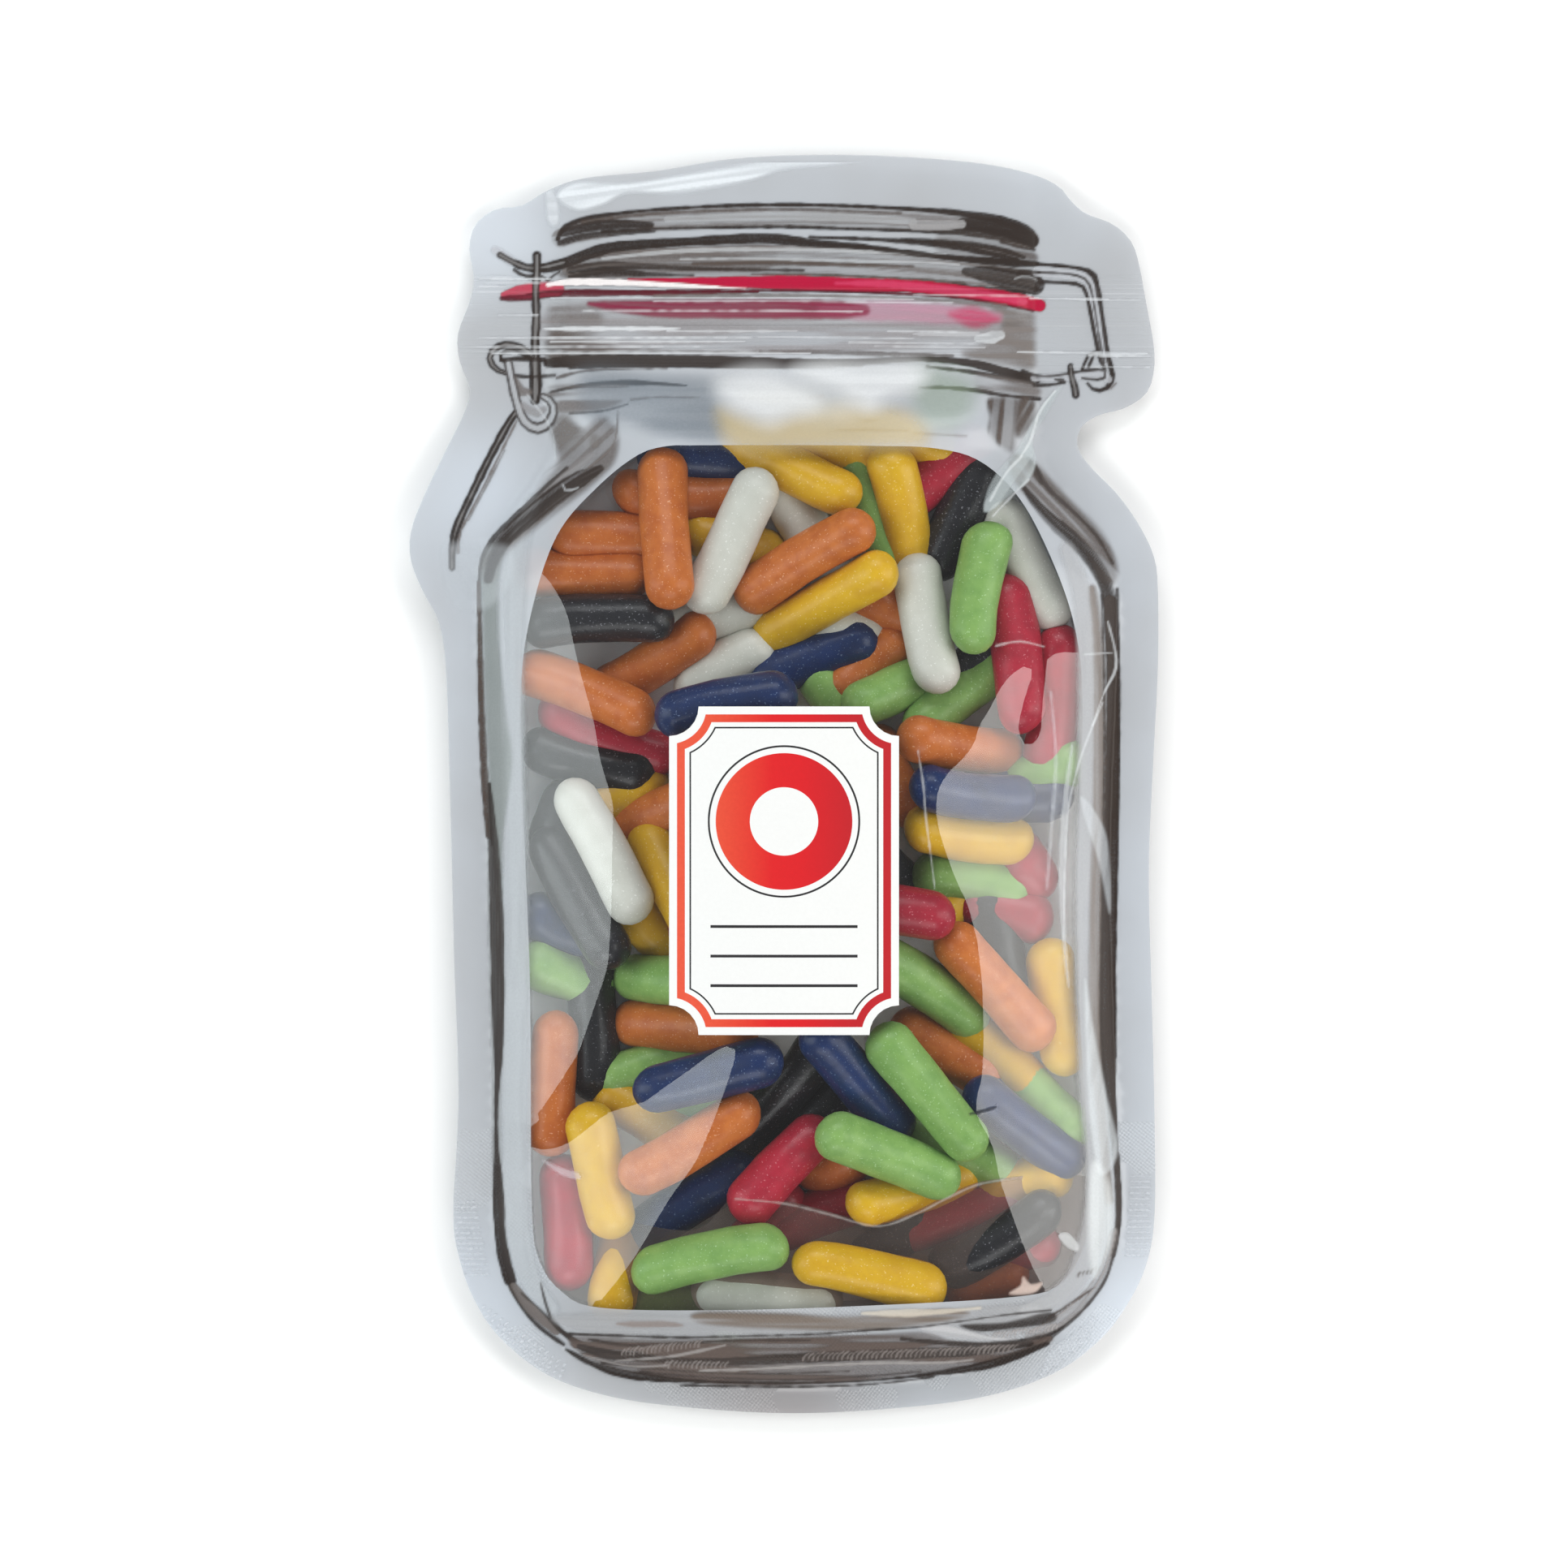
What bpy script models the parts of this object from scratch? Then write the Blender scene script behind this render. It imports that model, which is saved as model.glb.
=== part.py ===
"""A jar-shaped zip pouch of sugar-coated liquorice sweets, lying on its back with its printed side up.

The pouch is two films welded round their rim, filled like a flat pillow, with its mouth towards +Y.
All sizes here are millimetres; place() turns them into Blender's metres. X is the width, Y the length,
Z the thickness, and the origin is at the middle of the flat back.
"""

import math

import bmesh
import bpy
import numpy as np
from mathutils import Vector
from mathutils.geometry import delaunay_2d_cdt

for leftover in list(bpy.data.objects):
    bpy.data.objects.remove(leftover, do_unlink=True)

MM = 0.001
GAP = 0.3  # between neighbouring solids

# Pouch: the levels of its rim and the swell of its two films
RIM = 0.8  # thickness of the welded rim
RIM_LEVEL = 4.8  # height of the rim's middle beside the filled body
MOUTH_LEVEL = 2.6  # height of the same plane at the mouth, which lies almost on the ground
BASE_DROOP = 1.3  # how much the rim sinks at the base
RIM_WAVE = 0.35  # gentle waviness of the rim along the body
BACK_SHARE = 0.36  # how far the back film swells for each millimetre of the front
NECK_SWELL = 0.45  # how far the back film stands off its rim at the neck

CROWN_STEPS = (1.4, 3.6, 7.0)  # rows of points along the inside of the weld, where the film curves most

# Zip: two tracks welded inside the neck, under the mouth
ZIP_Y = 73.4  # middle of the interlocking profile
ZIP_LOW, ZIP_HIGH = 65.5, 77.7  # edges of the flanges
ZIP_RIDGE = 0.9  # how far the profile lifts each film
ZIP_CRUSHED = 0.25  # the same where the zip is crushed flat into the rim
MOUTH_LEFT, MOUTH_RIGHT = -33.0, 35.2  # ends of the open mouth

# Label
LABEL_WIDTH, LABEL_HEIGHT = 35.0, 50.0
LABEL_X, LABEL_Y = 0.0, -13.2
LABEL_NOTCH = 4.5  # radius of the scooped corners
LABEL_THICKNESS = 0.3

# Outline of the welded rim, clockwise from the left end of the mouth
OUTLINE = (
    # mouth edge
    (-31, 93.4), (-20, 94.5), (-8, 96.4), (5, 97.0), (18, 96.7), (30, 95.7), (38, 94.1), (42.2, 92.2),
    # right ear, round the hinge wire
    (44.2, 89.9), (46.4, 88.0), (50.5, 86.4), (53.3, 83.9), (54.6, 80.5), (55.9, 73.5), (56.9, 68.0),
    (57.0, 64.0), (55.9, 60.4), (52.5, 58.0), (48.2, 56.8), (45.6, 54.8),
    # right shoulder and side
    (45.2, 51.8), (47.2, 48.8), (51.2, 44.7), (54.6, 39.9), (56.9, 35.0), (57.5, 30.0), (57.5, 18.0),
    (56.7, 2.0), (56.1, -14.0), (56.6, -34.0), (57.0, -52.0), (57.0, -66.0),
    # base
    (55.9, -73.4), (53.2, -79.5), (48.8, -85.4), (41.5, -90.8), (30.5, -94.5), (15.0, -96.4), (0.0, -97.0),
    (-15.0, -96.1), (-27.0, -94.4), (-36.5, -91.1), (-43.8, -85.4), (-47.8, -79.5), (-50.1, -73.0),
    # left side
    (-51.0, -66.0), (-50.2, -48.0), (-50.9, -26.0), (-51.5, -2.0), (-52.1, 17.0), (-53.2, 24.8),
    # left shoulder, round the lever
    (-55.6, 29.5), (-57.5, 34.3), (-57.5, 38.9), (-55.4, 44.6), (-52.0, 51.8), (-49.2, 57.6),
    # left ear, round the catch
    (-48.5, 61.0), (-50.0, 64.8), (-50.4, 69.2), (-48.6, 74.2), (-47.9, 78.0), (-48.6, 82.5),
    (-47.7, 86.2), (-44.6, 88.6), (-40.5, 89.2), (-36.8, 91.4),
)

# Inner edge of the weld, from the mouth down the left side, round the base and up the right side
WELD = (
    (-36.5, 97.0), (-36.5, 75.0), (-36.5, 60.0), (-36.3, 52.0), (-38.5, 47.0), (-43.0, 41.0), (-46.0, 35.0),
    (-46.9, 28.0), (-46.1, 10.0), (-44.9, -20.0), (-44.6, -52.0), (-44.8, -65.0), (-43.6, -73.0),
    (-40.7, -79.5), (-36.5, -84.5), (-31.3, -88.0), (-25.0, -90.3), (-16.0, -91.8), (-4.0, -92.6),
    (2.0, -92.7),
    (15.0, -91.9), (26.5, -90.3), (34.5, -88.0), (41.0, -85.0), (46.0, -81.0), (49.4, -76.0), (51.6, -70.0),
    (52.0, -61.0), (50.8, -40.0), (50.2, -10.0), (51.1, 18.0), (50.9, 31.0), (48.6, 37.0), (45.0, 42.0),
    (41.0, 47.0), (39.2, 52.0), (38.8, 60.0), (38.8, 75.0), (38.8, 97.0),
)

# Swell of the front film above its rim along the middle: (y, height)
SWELL = (
    (-92.7, 0.0), (-90.5, 4.2), (-86.0, 8.8), (-80.0, 12.6), (-72.0, 15.3), (-60.0, 16.8), (-40.0, 17.4),
    (0.0, 17.4), (24.0, 16.8), (38.0, 14.8), (49.0, 11.0), (57.0, 6.5), (63.0, 2.6), (67.0, 0.9),
    (72.0, 0.7), (97.0, 0.7),
)

# Soft folds of the front film: (x, y, bearing in degrees, length, width, height)
FOLDS = (
    (-29.0, 5.0, 82, 60, 7.0, 0.6), (27.0, -12.0, 96, 60, 8.0, 0.6), (42.0, 37.0, 125, 26, 5.0, 0.9),
    (-35.0, 38.0, 60, 26, 5.0, 0.8), (-21.0, -52.0, 58, 36, 7.0, 0.6), (32.0, -58.0, 108, 40, 7.0, 0.6),
    (8.0, -66.0, 3, 60, 6.0, -0.6), (-10.0, 58.0, 8, 34, 5.0, -0.5), (21.0, 57.0, -14, 30, 5.0, 0.5),
)


def curve_through(knots, closed, per_span=12):
    """Points of a Catmull-Rom curve through the knots."""
    points = np.array(knots, float)
    count = len(points)
    spans = count if closed else count - 1
    found = []
    for i in range(spans):
        if closed:
            a, b, c, d = (points[(i + k) % count] for k in (-1, 0, 1, 2))
        else:
            a, b, c, d = (points[min(max(i + k, 0), count - 1)] for k in (-1, 0, 1, 2))
        for t in np.arange(per_span) / per_span:
            found.append(
                0.5 * (2 * b + (c - a) * t + (2 * a - 5 * b + 4 * c - d) * t**2 + (3 * b - a - 3 * c + d) * t**3)
            )
    if not closed:
        found.append(points[-1])
    return np.array(found)


def spaced(points, spacing, closed):
    """The same line with its points about this far apart."""
    line = np.vstack([points, points[:1]]) if closed else points
    run = np.concatenate([[0], np.cumsum(np.linalg.norm(np.diff(line, axis=0), axis=1))])
    count = max(3, round(run[-1] / spacing))
    at = np.linspace(0, run[-1], count + 1)
    if closed:
        at = at[:-1]
    return np.column_stack([np.interp(at, run, line[:, 0]), np.interp(at, run, line[:, 1])])


def centred(points):
    """The loop moved so that its box is centred on the origin."""
    return points - (points.min(0) + points.max(0)) / 2


def inside(x, y, loop):
    """Whether each point lies inside the loop."""
    ends = np.roll(loop, -1, axis=0)
    found = np.zeros(np.shape(x), bool)
    for (ax, ay), (bx, by) in zip(loop, ends):
        if ay != by:
            found ^= ((ay > y) != (by > y)) & (x < (bx - ax) * (y - ay) / (by - ay) + ax)
    return found


def distance(x, y, loop):
    """Distance of each point from the loop's nearest edge."""
    ends = np.roll(loop, -1, axis=0)
    best = np.full(np.shape(x), np.inf)
    for (ax, ay), (bx, by) in zip(loop, ends):
        dx, dy = bx - ax, by - ay
        t = np.clip(((x - ax) * dx + (y - ay) * dy) / max(dx * dx + dy * dy, 1e-12), 0, 1)
        best = np.minimum(best, np.hypot(x - ax - t * dx, y - ay - t * dy))
    return best


def inset(loop, by):
    """The loop moved inwards, along the mean direction of each point's two edges."""
    along = np.roll(loop, -1, axis=0) - np.roll(loop, 1, axis=0)
    along /= np.linalg.norm(along, axis=1)[:, None]
    return loop + by * np.column_stack([along[:, 1], -along[:, 0]])


def smoothstep(t):
    t = np.clip(t, 0, 1)
    return t * t * (3 - 2 * t)


OUTLINE_LOOP = centred(curve_through(OUTLINE, closed=True))
WELD_LINE = curve_through(WELD, closed=False)
SWELL_LINE = curve_through(SWELL, closed=False)


def weld_sides(y):
    """x of the weld's inner edge on the left and on the right at each y."""
    lowest = int(np.argmin(WELD_LINE[:, 1]))
    left, right = WELD_LINE[: lowest + 1][::-1], WELD_LINE[lowest:]
    return np.interp(y, left[:, 1], left[:, 0]), np.interp(y, right[:, 1], right[:, 0])


def rim_level(x, y):
    """Height of the rim's middle plane: flat at the mouth, lifted beside the body, low again at the base."""
    body = smoothstep((64 - y) / 26)
    level = MOUTH_LEVEL + (RIM_LEVEL - MOUTH_LEVEL) * body
    level = level - BASE_DROOP * smoothstep((-66 - y) / 30)
    return level + RIM_WAVE * body * np.sin(y / 13 + x / 37)


def zip_ridge(x, y):
    """How far the zip's profile lifts each film."""
    across = smoothstep((3.2 - np.abs(y - ZIP_Y)) / 1.5)
    along = smoothstep((x - MOUTH_LEFT + 2.5) / 2) * smoothstep((MOUTH_RIGHT + 2.5 - x) / 2)
    return across * (ZIP_CRUSHED + (ZIP_RIDGE - ZIP_CRUSHED) * along)


def swell(x, y):
    """How far the front film stands above its rim."""
    left, right = weld_sides(y)
    middle, half = (left + right) / 2, np.maximum((right - left) / 2, 1e-3)
    offset = np.clip(np.abs(x - middle) / half, 0, 1)
    squareness = 2.4 + 9.6 * smoothstep((y - 50) / 16)
    rounding = (1 - offset**squareness) ** 0.8
    return np.interp(y, SWELL_LINE[:, 0], SWELL_LINE[:, 1]) * rounding * (y > WELD_LINE[:, 1].min())


def folds(x, y):
    """Height of the front film's soft folds."""
    total = 0.0
    for at_x, at_y, bearing, length, width, height in FOLDS:
        c, s = math.cos(math.radians(bearing)), math.sin(math.radians(bearing))
        along = ((x - at_x) * c + (y - at_y) * s) / (length / 2)
        across = ((y - at_y) * c - (x - at_x) * s) / (width / 2)
        total = total + height * np.exp(-(across**2)) * smoothstep(1.5 - np.abs(along))
    return total * smoothstep(swell(x, y) / 8)


def film_top(x, y):
    """Height of the front film."""
    return rim_level(x, y) + RIM / 2 + swell(x, y) + zip_ridge(x, y) + folds(x, y)


def film_bottom(x, y):
    """Height of the back film, which lies flat on the ground under the body."""
    rise = swell(x, y)
    sag = BACK_SHARE * rise + NECK_SWELL * (1 - np.exp(-rise / NECK_SWELL)) + zip_ridge(x, y)
    level = rim_level(x, y) - RIM / 2
    return level - np.minimum(level, sag)


def lattice(loop, spacing, keep_off):
    """Points of a triangular lattice inside the loop, clear of its edge."""
    low, high = loop.min(0), loop.max(0)
    rows = np.arange(low[1], high[1], spacing * math.sqrt(3) / 2)
    found = []
    for n, y in enumerate(rows):
        x = np.arange(low[0] + spacing / 2 * (n % 2), high[0], spacing)
        found.append(np.column_stack([x, np.full(len(x), y)]))
    found = np.vstack(found)
    good = inside(found[:, 0], found[:, 1], loop)
    good &= distance(found[:, 0], found[:, 1], loop) > keep_off
    return found[good]


def flat_triangles(loop, lines, loose):
    """Points and triangles that fill the loop, with edges along the lines and a corner at each loose point."""
    verts = [Vector(p) for p in loop]
    edges = []
    for line in lines:
        first = len(verts)
        verts += [Vector(p) for p in line]
        edges += [(first + i, first + i + 1) for i in range(len(line) - 1)]
    verts += [Vector(p) for p in loose]
    border = list(range(len(loop)))[::-1]
    points, _, faces, _, _, _ = delaunay_2d_cdt(verts, edges, [border], 1, 1e-4)
    points = np.array([tuple(p) for p in points])
    faces = np.array([tuple(f) for f in faces])
    a, b, c = (points[faces[:, k]] for k in range(3))
    area = (b[:, 0] - a[:, 0]) * (c[:, 1] - a[:, 1]) - (b[:, 1] - a[:, 1]) * (c[:, 0] - a[:, 0])
    faces[area < 0] = faces[area < 0][:, ::-1]
    return points, faces


def rim_edges(faces):
    """Edges that only one triangle has, in that triangle's direction."""
    ends = np.concatenate([faces[:, [0, 1]], faces[:, [1, 2]], faces[:, [2, 0]]])
    known = {tuple(e) for e in ends}
    return [e for e in known if (e[1], e[0]) not in known]


def slab(points, faces, top, bottom):
    """Vertices and faces of a closed solid between two heights over a flat triangulation."""
    count = len(points)
    verts = np.vstack([np.column_stack([points, top]), np.column_stack([points, bottom])])
    shell = [tuple(f) for f in faces] + [tuple(f[::-1] + count) for f in faces]
    walls = [(a, a + count, b + count, b) for a, b in rim_edges(faces)]
    return verts, shell + walls


def place(name, verts, faces, material, smooth=True):
    """A mesh object from vertices in millimetres."""
    mesh = bpy.data.meshes.new(name)
    mesh.from_pydata([tuple(v) for v in np.asarray(verts, float) * MM], [], [tuple(map(int, f)) for f in faces])
    mesh.validate()
    shape = bmesh.new()
    shape.from_mesh(mesh)
    bmesh.ops.recalc_face_normals(shape, faces=shape.faces)
    shape.to_mesh(mesh)
    shape.free()
    if smooth:
        mesh.shade_smooth()
        mesh.set_sharp_from_angle(angle=math.radians(40))
    if material:
        mesh.materials.append(material)
    obj = bpy.data.objects.new(name, mesh)
    bpy.context.scene.collection.objects.link(obj)
    return obj


def as_cutter(obj):
    obj.hide_render = True
    obj.display_type = "WIRE"
    return obj


def cut(obj, cutter):
    modifier = obj.modifiers.new("cut_" + cutter.name, "BOOLEAN")
    modifier.operation = "DIFFERENCE"
    modifier.solver = "EXACT"
    modifier.object = as_cutter(cutter)


def bar(name, section, start, end, material=None):
    """A straight bar along X with this (y, z) section."""
    count = len(section)
    verts = [(x, y, z) for x in (start, end) for y, z in section]
    faces = [tuple(range(count)), tuple(range(2 * count - 1, count - 1, -1))]
    faces += [(i, (i + 1) % count, (i + 1) % count + count, i + count) for i in range(count)]
    return place(name, verts, faces, material, smooth=False)


def material(name, colour, roughness, alpha=1.0):
    made = bpy.data.materials.new(name)
    made.use_nodes = True
    shader = made.node_tree.nodes["Principled BSDF"]
    shader.inputs["Base Color"].default_value = (*colour, 1)
    shader.inputs["Roughness"].default_value = roughness
    shader.inputs["Alpha"].default_value = alpha
    return made


def make_pouch():
    """Both films and their rim as one solid, with the mouth and the zip's room cut into the neck."""
    outline = spaced(OUTLINE_LOOP, 3.6, closed=True)
    weld = spaced(WELD_LINE[WELD_LINE[:, 1] < 92], 4.0, closed=False)
    body = weld[weld[:, 1] < 56]
    crowns = [inset(body, step)[1:-1] for step in CROWN_STEPS]
    ends = (-49, MOUTH_LEFT - 3.5, MOUTH_LEFT - 2.5, MOUTH_LEFT - 0.5, MOUTH_RIGHT + 0.5, MOUTH_RIGHT + 2.5, 56)
    steps = np.sort(np.concatenate([ends, np.linspace(MOUTH_LEFT + 5, MOUTH_RIGHT - 5, 10)]))
    rows = [np.column_stack([steps, np.full(len(steps), ZIP_Y + off)]) for off in (-3.2, -1.7, 1.7, 3.2)]
    rows = [row[inside(*row.T, OUTLINE_LOOP) & (distance(*row.T, OUTLINE_LOOP) > 1)] for row in rows]
    uprights = np.concatenate([np.arange(62, 70, 3.5), np.arange(78.5, 92, 4)])
    sides = [np.column_stack([np.full(len(uprights), x), uprights]) for x in (MOUTH_LEFT - 0.5, MOUTH_RIGHT + 0.5)]
    loose = lattice(OUTLINE_LOOP, 5.4, keep_off=2.2)
    off_weld = distance(*loose.T, WELD_LINE)
    keep = np.where(loose[:, 1] < 57, (off_weld > CROWN_STEPS[-1] + 2.5) | ~inside(*loose.T, weld), off_weld > 1.8)
    keep &= (off_weld > 1.8) & (np.abs(loose[:, 1] - ZIP_Y) > 4.6)
    points, faces = flat_triangles(outline, [weld, *crowns, *rows, *sides], loose[keep])
    pouch = place("pouch", *slab(points, faces, film_top(*points.T), film_bottom(*points.T)), POUCH_FILM)
    cut(pouch, bar("mouth_cutter", mouth_section(), MOUTH_LEFT, MOUTH_RIGHT))


def mouth_section():
    """(y, z) section of the space between the films: the zip's room, open upwards to the mouth."""
    half = [
        (ZIP_LOW - GAP, 0.6), (ZIP_Y - 2.4, 0.7), (ZIP_Y - 1.5, 1.5), (ZIP_Y + 1.5, 1.5),
        (ZIP_Y + 2.4, 0.7), (ZIP_HIGH + GAP, 0.6), (ZIP_HIGH + GAP, 0.3), (105.0, 0.3),
    ]
    upper = [(y, MOUTH_LEVEL + z) for y, z in half]
    lower = [(y, MOUTH_LEVEL - z) for y, z in half]
    return upper + lower[::-1]


def make_zip():
    """The two welded tracks: a hooked channel on the front film and an arrow rib on the back film."""
    start, end = MOUTH_LEFT + GAP, MOUTH_RIGHT - GAP
    channel = [
        (ZIP_LOW, 0.12), (ZIP_Y - 2.0, 0.12), (ZIP_Y - 1.2, 0.5), (ZIP_Y - 1.2, -0.7), (ZIP_Y - 0.45, -0.7),
        (ZIP_Y - 0.85, -0.3), (ZIP_Y - 0.85, 0.85), (ZIP_Y + 0.85, 0.85), (ZIP_Y + 0.85, -0.3),
        (ZIP_Y + 0.45, -0.7), (ZIP_Y + 1.2, -0.7), (ZIP_Y + 1.2, 0.5), (ZIP_Y + 2.0, 0.12),
        (ZIP_HIGH, 0.12), (ZIP_HIGH, 0.32), (ZIP_Y + 2.2, 0.32), (ZIP_Y + 1.3, 1.2), (ZIP_Y - 1.3, 1.2),
        (ZIP_Y - 2.2, 0.32), (ZIP_LOW, 0.32),
    ]
    rib = [
        (ZIP_LOW, -0.32), (ZIP_Y - 2.2, -0.32), (ZIP_Y - 1.4, -1.2), (ZIP_Y + 1.4, -1.2),
        (ZIP_Y + 2.2, -0.32), (ZIP_HIGH, -0.32), (ZIP_HIGH, -0.18), (ZIP_Y + 2.0, -0.18),
        (ZIP_Y + 1.5, -1.0), (ZIP_Y + 0.15, -1.0), (ZIP_Y + 0.15, -0.2), (ZIP_Y + 0.5, 0.0),
        (ZIP_Y, 0.5), (ZIP_Y - 0.5, 0.0), (ZIP_Y - 0.15, -0.2), (ZIP_Y - 0.15, -1.0), (ZIP_Y - 1.5, -1.0),
        (ZIP_Y - 2.0, -0.18), (ZIP_LOW, -0.18),
    ]
    for name, section in (("zip_channel", channel), ("zip_rib", rib)):
        bar(name, [(y, MOUTH_LEVEL + z) for y, z in section], start, end, CLEAR_PLASTIC)


def make_label():
    """A thin label that follows the front film, with scooped corners."""
    corners = []
    for turn in range(4):
        side_x = LABEL_WIDTH / 2 * (1 if turn in (0, 3) else -1)
        side_y = LABEL_HEIGHT / 2 * (1 if turn in (0, 1) else -1)
        for step in range(7):
            angle = math.pi * (1 + turn / 2) + math.pi / 2 * (1 - step / 6)
            corners.append((side_x + LABEL_NOTCH * math.cos(angle), side_y + LABEL_NOTCH * math.sin(angle)))
    corners = np.array(corners)[::-1] + (LABEL_X, LABEL_Y)
    loop = []
    for here, following in zip(corners, np.roll(corners, -1, axis=0)):
        count = max(1, round(np.linalg.norm(following - here) / 3.5))
        loop += [here + (following - here) * t for t in np.arange(count) / count]
    loop = np.array(loop)
    loose = lattice(loop, 4.2, keep_off=1.8)
    points, faces = flat_triangles(loop, [], loose)
    under = film_top(*points.T) + GAP
    place("label", *slab(points, faces, under + LABEL_THICKNESS, under), LABEL_PAPER)


POUCH_FILM = material("pouch_film", (0.72, 0.75, 0.79), 0.22)
CLEAR_PLASTIC = material("zip_plastic", (0.80, 0.82, 0.85), 0.3)
LABEL_PAPER = material("label_paper", (0.93, 0.92, 0.90), 0.45)

make_pouch()
make_zip()
make_label()
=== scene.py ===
"""Looks of the jar-shaped zip pouch of liquorice sweets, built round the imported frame.

Lengths in the tables are millimetres, as in the part: X is the width, Y runs to the mouth, Z is up.
"""

import math

import bpy
import numpy as np
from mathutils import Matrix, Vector
from mathutils.geometry import delaunay_2d_cdt


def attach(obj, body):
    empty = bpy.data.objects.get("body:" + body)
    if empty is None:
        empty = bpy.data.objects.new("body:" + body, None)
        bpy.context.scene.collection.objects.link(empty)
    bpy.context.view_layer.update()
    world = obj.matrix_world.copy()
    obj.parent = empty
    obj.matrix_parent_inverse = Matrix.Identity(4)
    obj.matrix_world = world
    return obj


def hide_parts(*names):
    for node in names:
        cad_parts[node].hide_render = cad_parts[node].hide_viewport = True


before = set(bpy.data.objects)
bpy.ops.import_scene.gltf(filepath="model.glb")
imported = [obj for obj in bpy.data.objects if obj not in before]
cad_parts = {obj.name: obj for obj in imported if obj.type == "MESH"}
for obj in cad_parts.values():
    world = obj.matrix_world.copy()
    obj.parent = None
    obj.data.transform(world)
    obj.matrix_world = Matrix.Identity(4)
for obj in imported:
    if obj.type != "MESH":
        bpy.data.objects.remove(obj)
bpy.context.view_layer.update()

MM = 0.001

# The pouch's form, as in the part
RIM, RIM_LEVEL, MOUTH_LEVEL, BASE_DROOP, RIM_WAVE = 0.8, 4.8, 2.6, 1.3, 0.35
BACK_SHARE, NECK_SWELL = 0.36, 0.45
ZIP_Y, ZIP_RIDGE, ZIP_CRUSHED = 73.4, 0.9, 0.25
MOUTH_LEFT, MOUTH_RIGHT = -33.0, 35.2

OUTLINE = (
    (-31, 93.4), (-20, 94.5), (-8, 96.4), (5, 97.0), (18, 96.7), (30, 95.7), (38, 94.1), (42.2, 92.2),
    (44.2, 89.9), (46.4, 88.0), (50.5, 86.4), (53.3, 83.9), (54.6, 80.5), (55.9, 73.5), (56.9, 68.0),
    (57.0, 64.0), (55.9, 60.4), (52.5, 58.0), (48.2, 56.8), (45.6, 54.8),
    (45.2, 51.8), (47.2, 48.8), (51.2, 44.7), (54.6, 39.9), (56.9, 35.0), (57.5, 30.0), (57.5, 18.0),
    (56.7, 2.0), (56.1, -14.0), (56.6, -34.0), (57.0, -52.0), (57.0, -66.0),
    (55.9, -73.4), (53.2, -79.5), (48.8, -85.4), (41.5, -90.8), (30.5, -94.5), (15.0, -96.4), (0.0, -97.0),
    (-15.0, -96.1), (-27.0, -94.4), (-36.5, -91.1), (-43.8, -85.4), (-47.8, -79.5), (-50.1, -73.0),
    (-51.0, -66.0), (-50.2, -48.0), (-50.9, -26.0), (-51.5, -2.0), (-52.1, 17.0), (-53.2, 24.8),
    (-55.6, 29.5), (-57.5, 34.3), (-57.5, 38.9), (-55.4, 44.6), (-52.0, 51.8), (-49.2, 57.6),
    (-48.5, 61.0), (-50.0, 64.8), (-50.4, 69.2), (-48.6, 74.2), (-47.9, 78.0), (-48.6, 82.5),
    (-47.7, 86.2), (-44.6, 88.6), (-40.5, 89.2), (-36.8, 91.4),
)
WELD = (
    (-36.5, 97.0), (-36.5, 75.0), (-36.5, 60.0), (-36.3, 52.0), (-38.5, 47.0), (-43.0, 41.0), (-46.0, 35.0),
    (-46.9, 28.0), (-46.1, 10.0), (-44.9, -20.0), (-44.6, -52.0), (-44.8, -65.0), (-43.6, -73.0),
    (-40.7, -79.5), (-36.5, -84.5), (-31.3, -88.0), (-25.0, -90.3), (-16.0, -91.8), (-4.0, -92.6),
    (2.0, -92.7),
    (15.0, -91.9), (26.5, -90.3), (34.5, -88.0), (41.0, -85.0), (46.0, -81.0), (49.4, -76.0), (51.6, -70.0),
    (52.0, -61.0), (50.8, -40.0), (50.2, -10.0), (51.1, 18.0), (50.9, 31.0), (48.6, 37.0), (45.0, 42.0),
    (41.0, 47.0), (39.2, 52.0), (38.8, 60.0), (38.8, 75.0), (38.8, 97.0),
)
WINDOW = (
    (-18.0, 51.8), (-14.0, 51.9), (4.0, 51.9), (14.0, 51.8), (23.0, 51.5), (30.0, 49.6), (36.0, 44.0),
    (41.0, 34.5), (44.6, 24.0), (45.8, 12.0), (45.2, -10.0), (45.4, -35.0), (46.6, -55.0), (46.8, -66.0),
    (45.6, -72.0), (42.3, -76.8), (36.0, -78.5), (15.0, -79.6), (-8.0, -80.4), (-28.0, -80.3),
    (-34.0, -78.0), (-37.6, -73.0), (-38.7, -64.0), (-39.0, -30.0), (-40.2, 0.0), (-40.4, 14.5),
    (-38.8, 26.0), (-34.8, 38.0), (-28.5, 45.6), (-22.5, 50.4),
)
SWELL = (
    (-92.7, 0.0), (-90.5, 4.2), (-86.0, 8.8), (-80.0, 12.6), (-72.0, 15.3), (-60.0, 16.8), (-40.0, 17.4),
    (0.0, 17.4), (24.0, 16.8), (38.0, 14.8), (49.0, 11.0), (57.0, 6.5), (63.0, 2.6), (67.0, 0.9),
    (72.0, 0.7), (97.0, 0.7),
)
FOLDS = (
    (-29.0, 5.0, 82, 60, 7.0, 0.6), (27.0, -12.0, 96, 60, 8.0, 0.6), (42.0, 37.0, 125, 26, 5.0, 0.9),
    (-35.0, 38.0, 60, 26, 5.0, 0.8), (-21.0, -52.0, 58, 36, 7.0, 0.6), (32.0, -58.0, 108, 40, 7.0, 0.6),
    (8.0, -66.0, 3, 60, 6.0, -0.6), (-10.0, 58.0, 8, 34, 5.0, -0.5), (21.0, 57.0, -14, 30, 5.0, 0.5),
)


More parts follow.
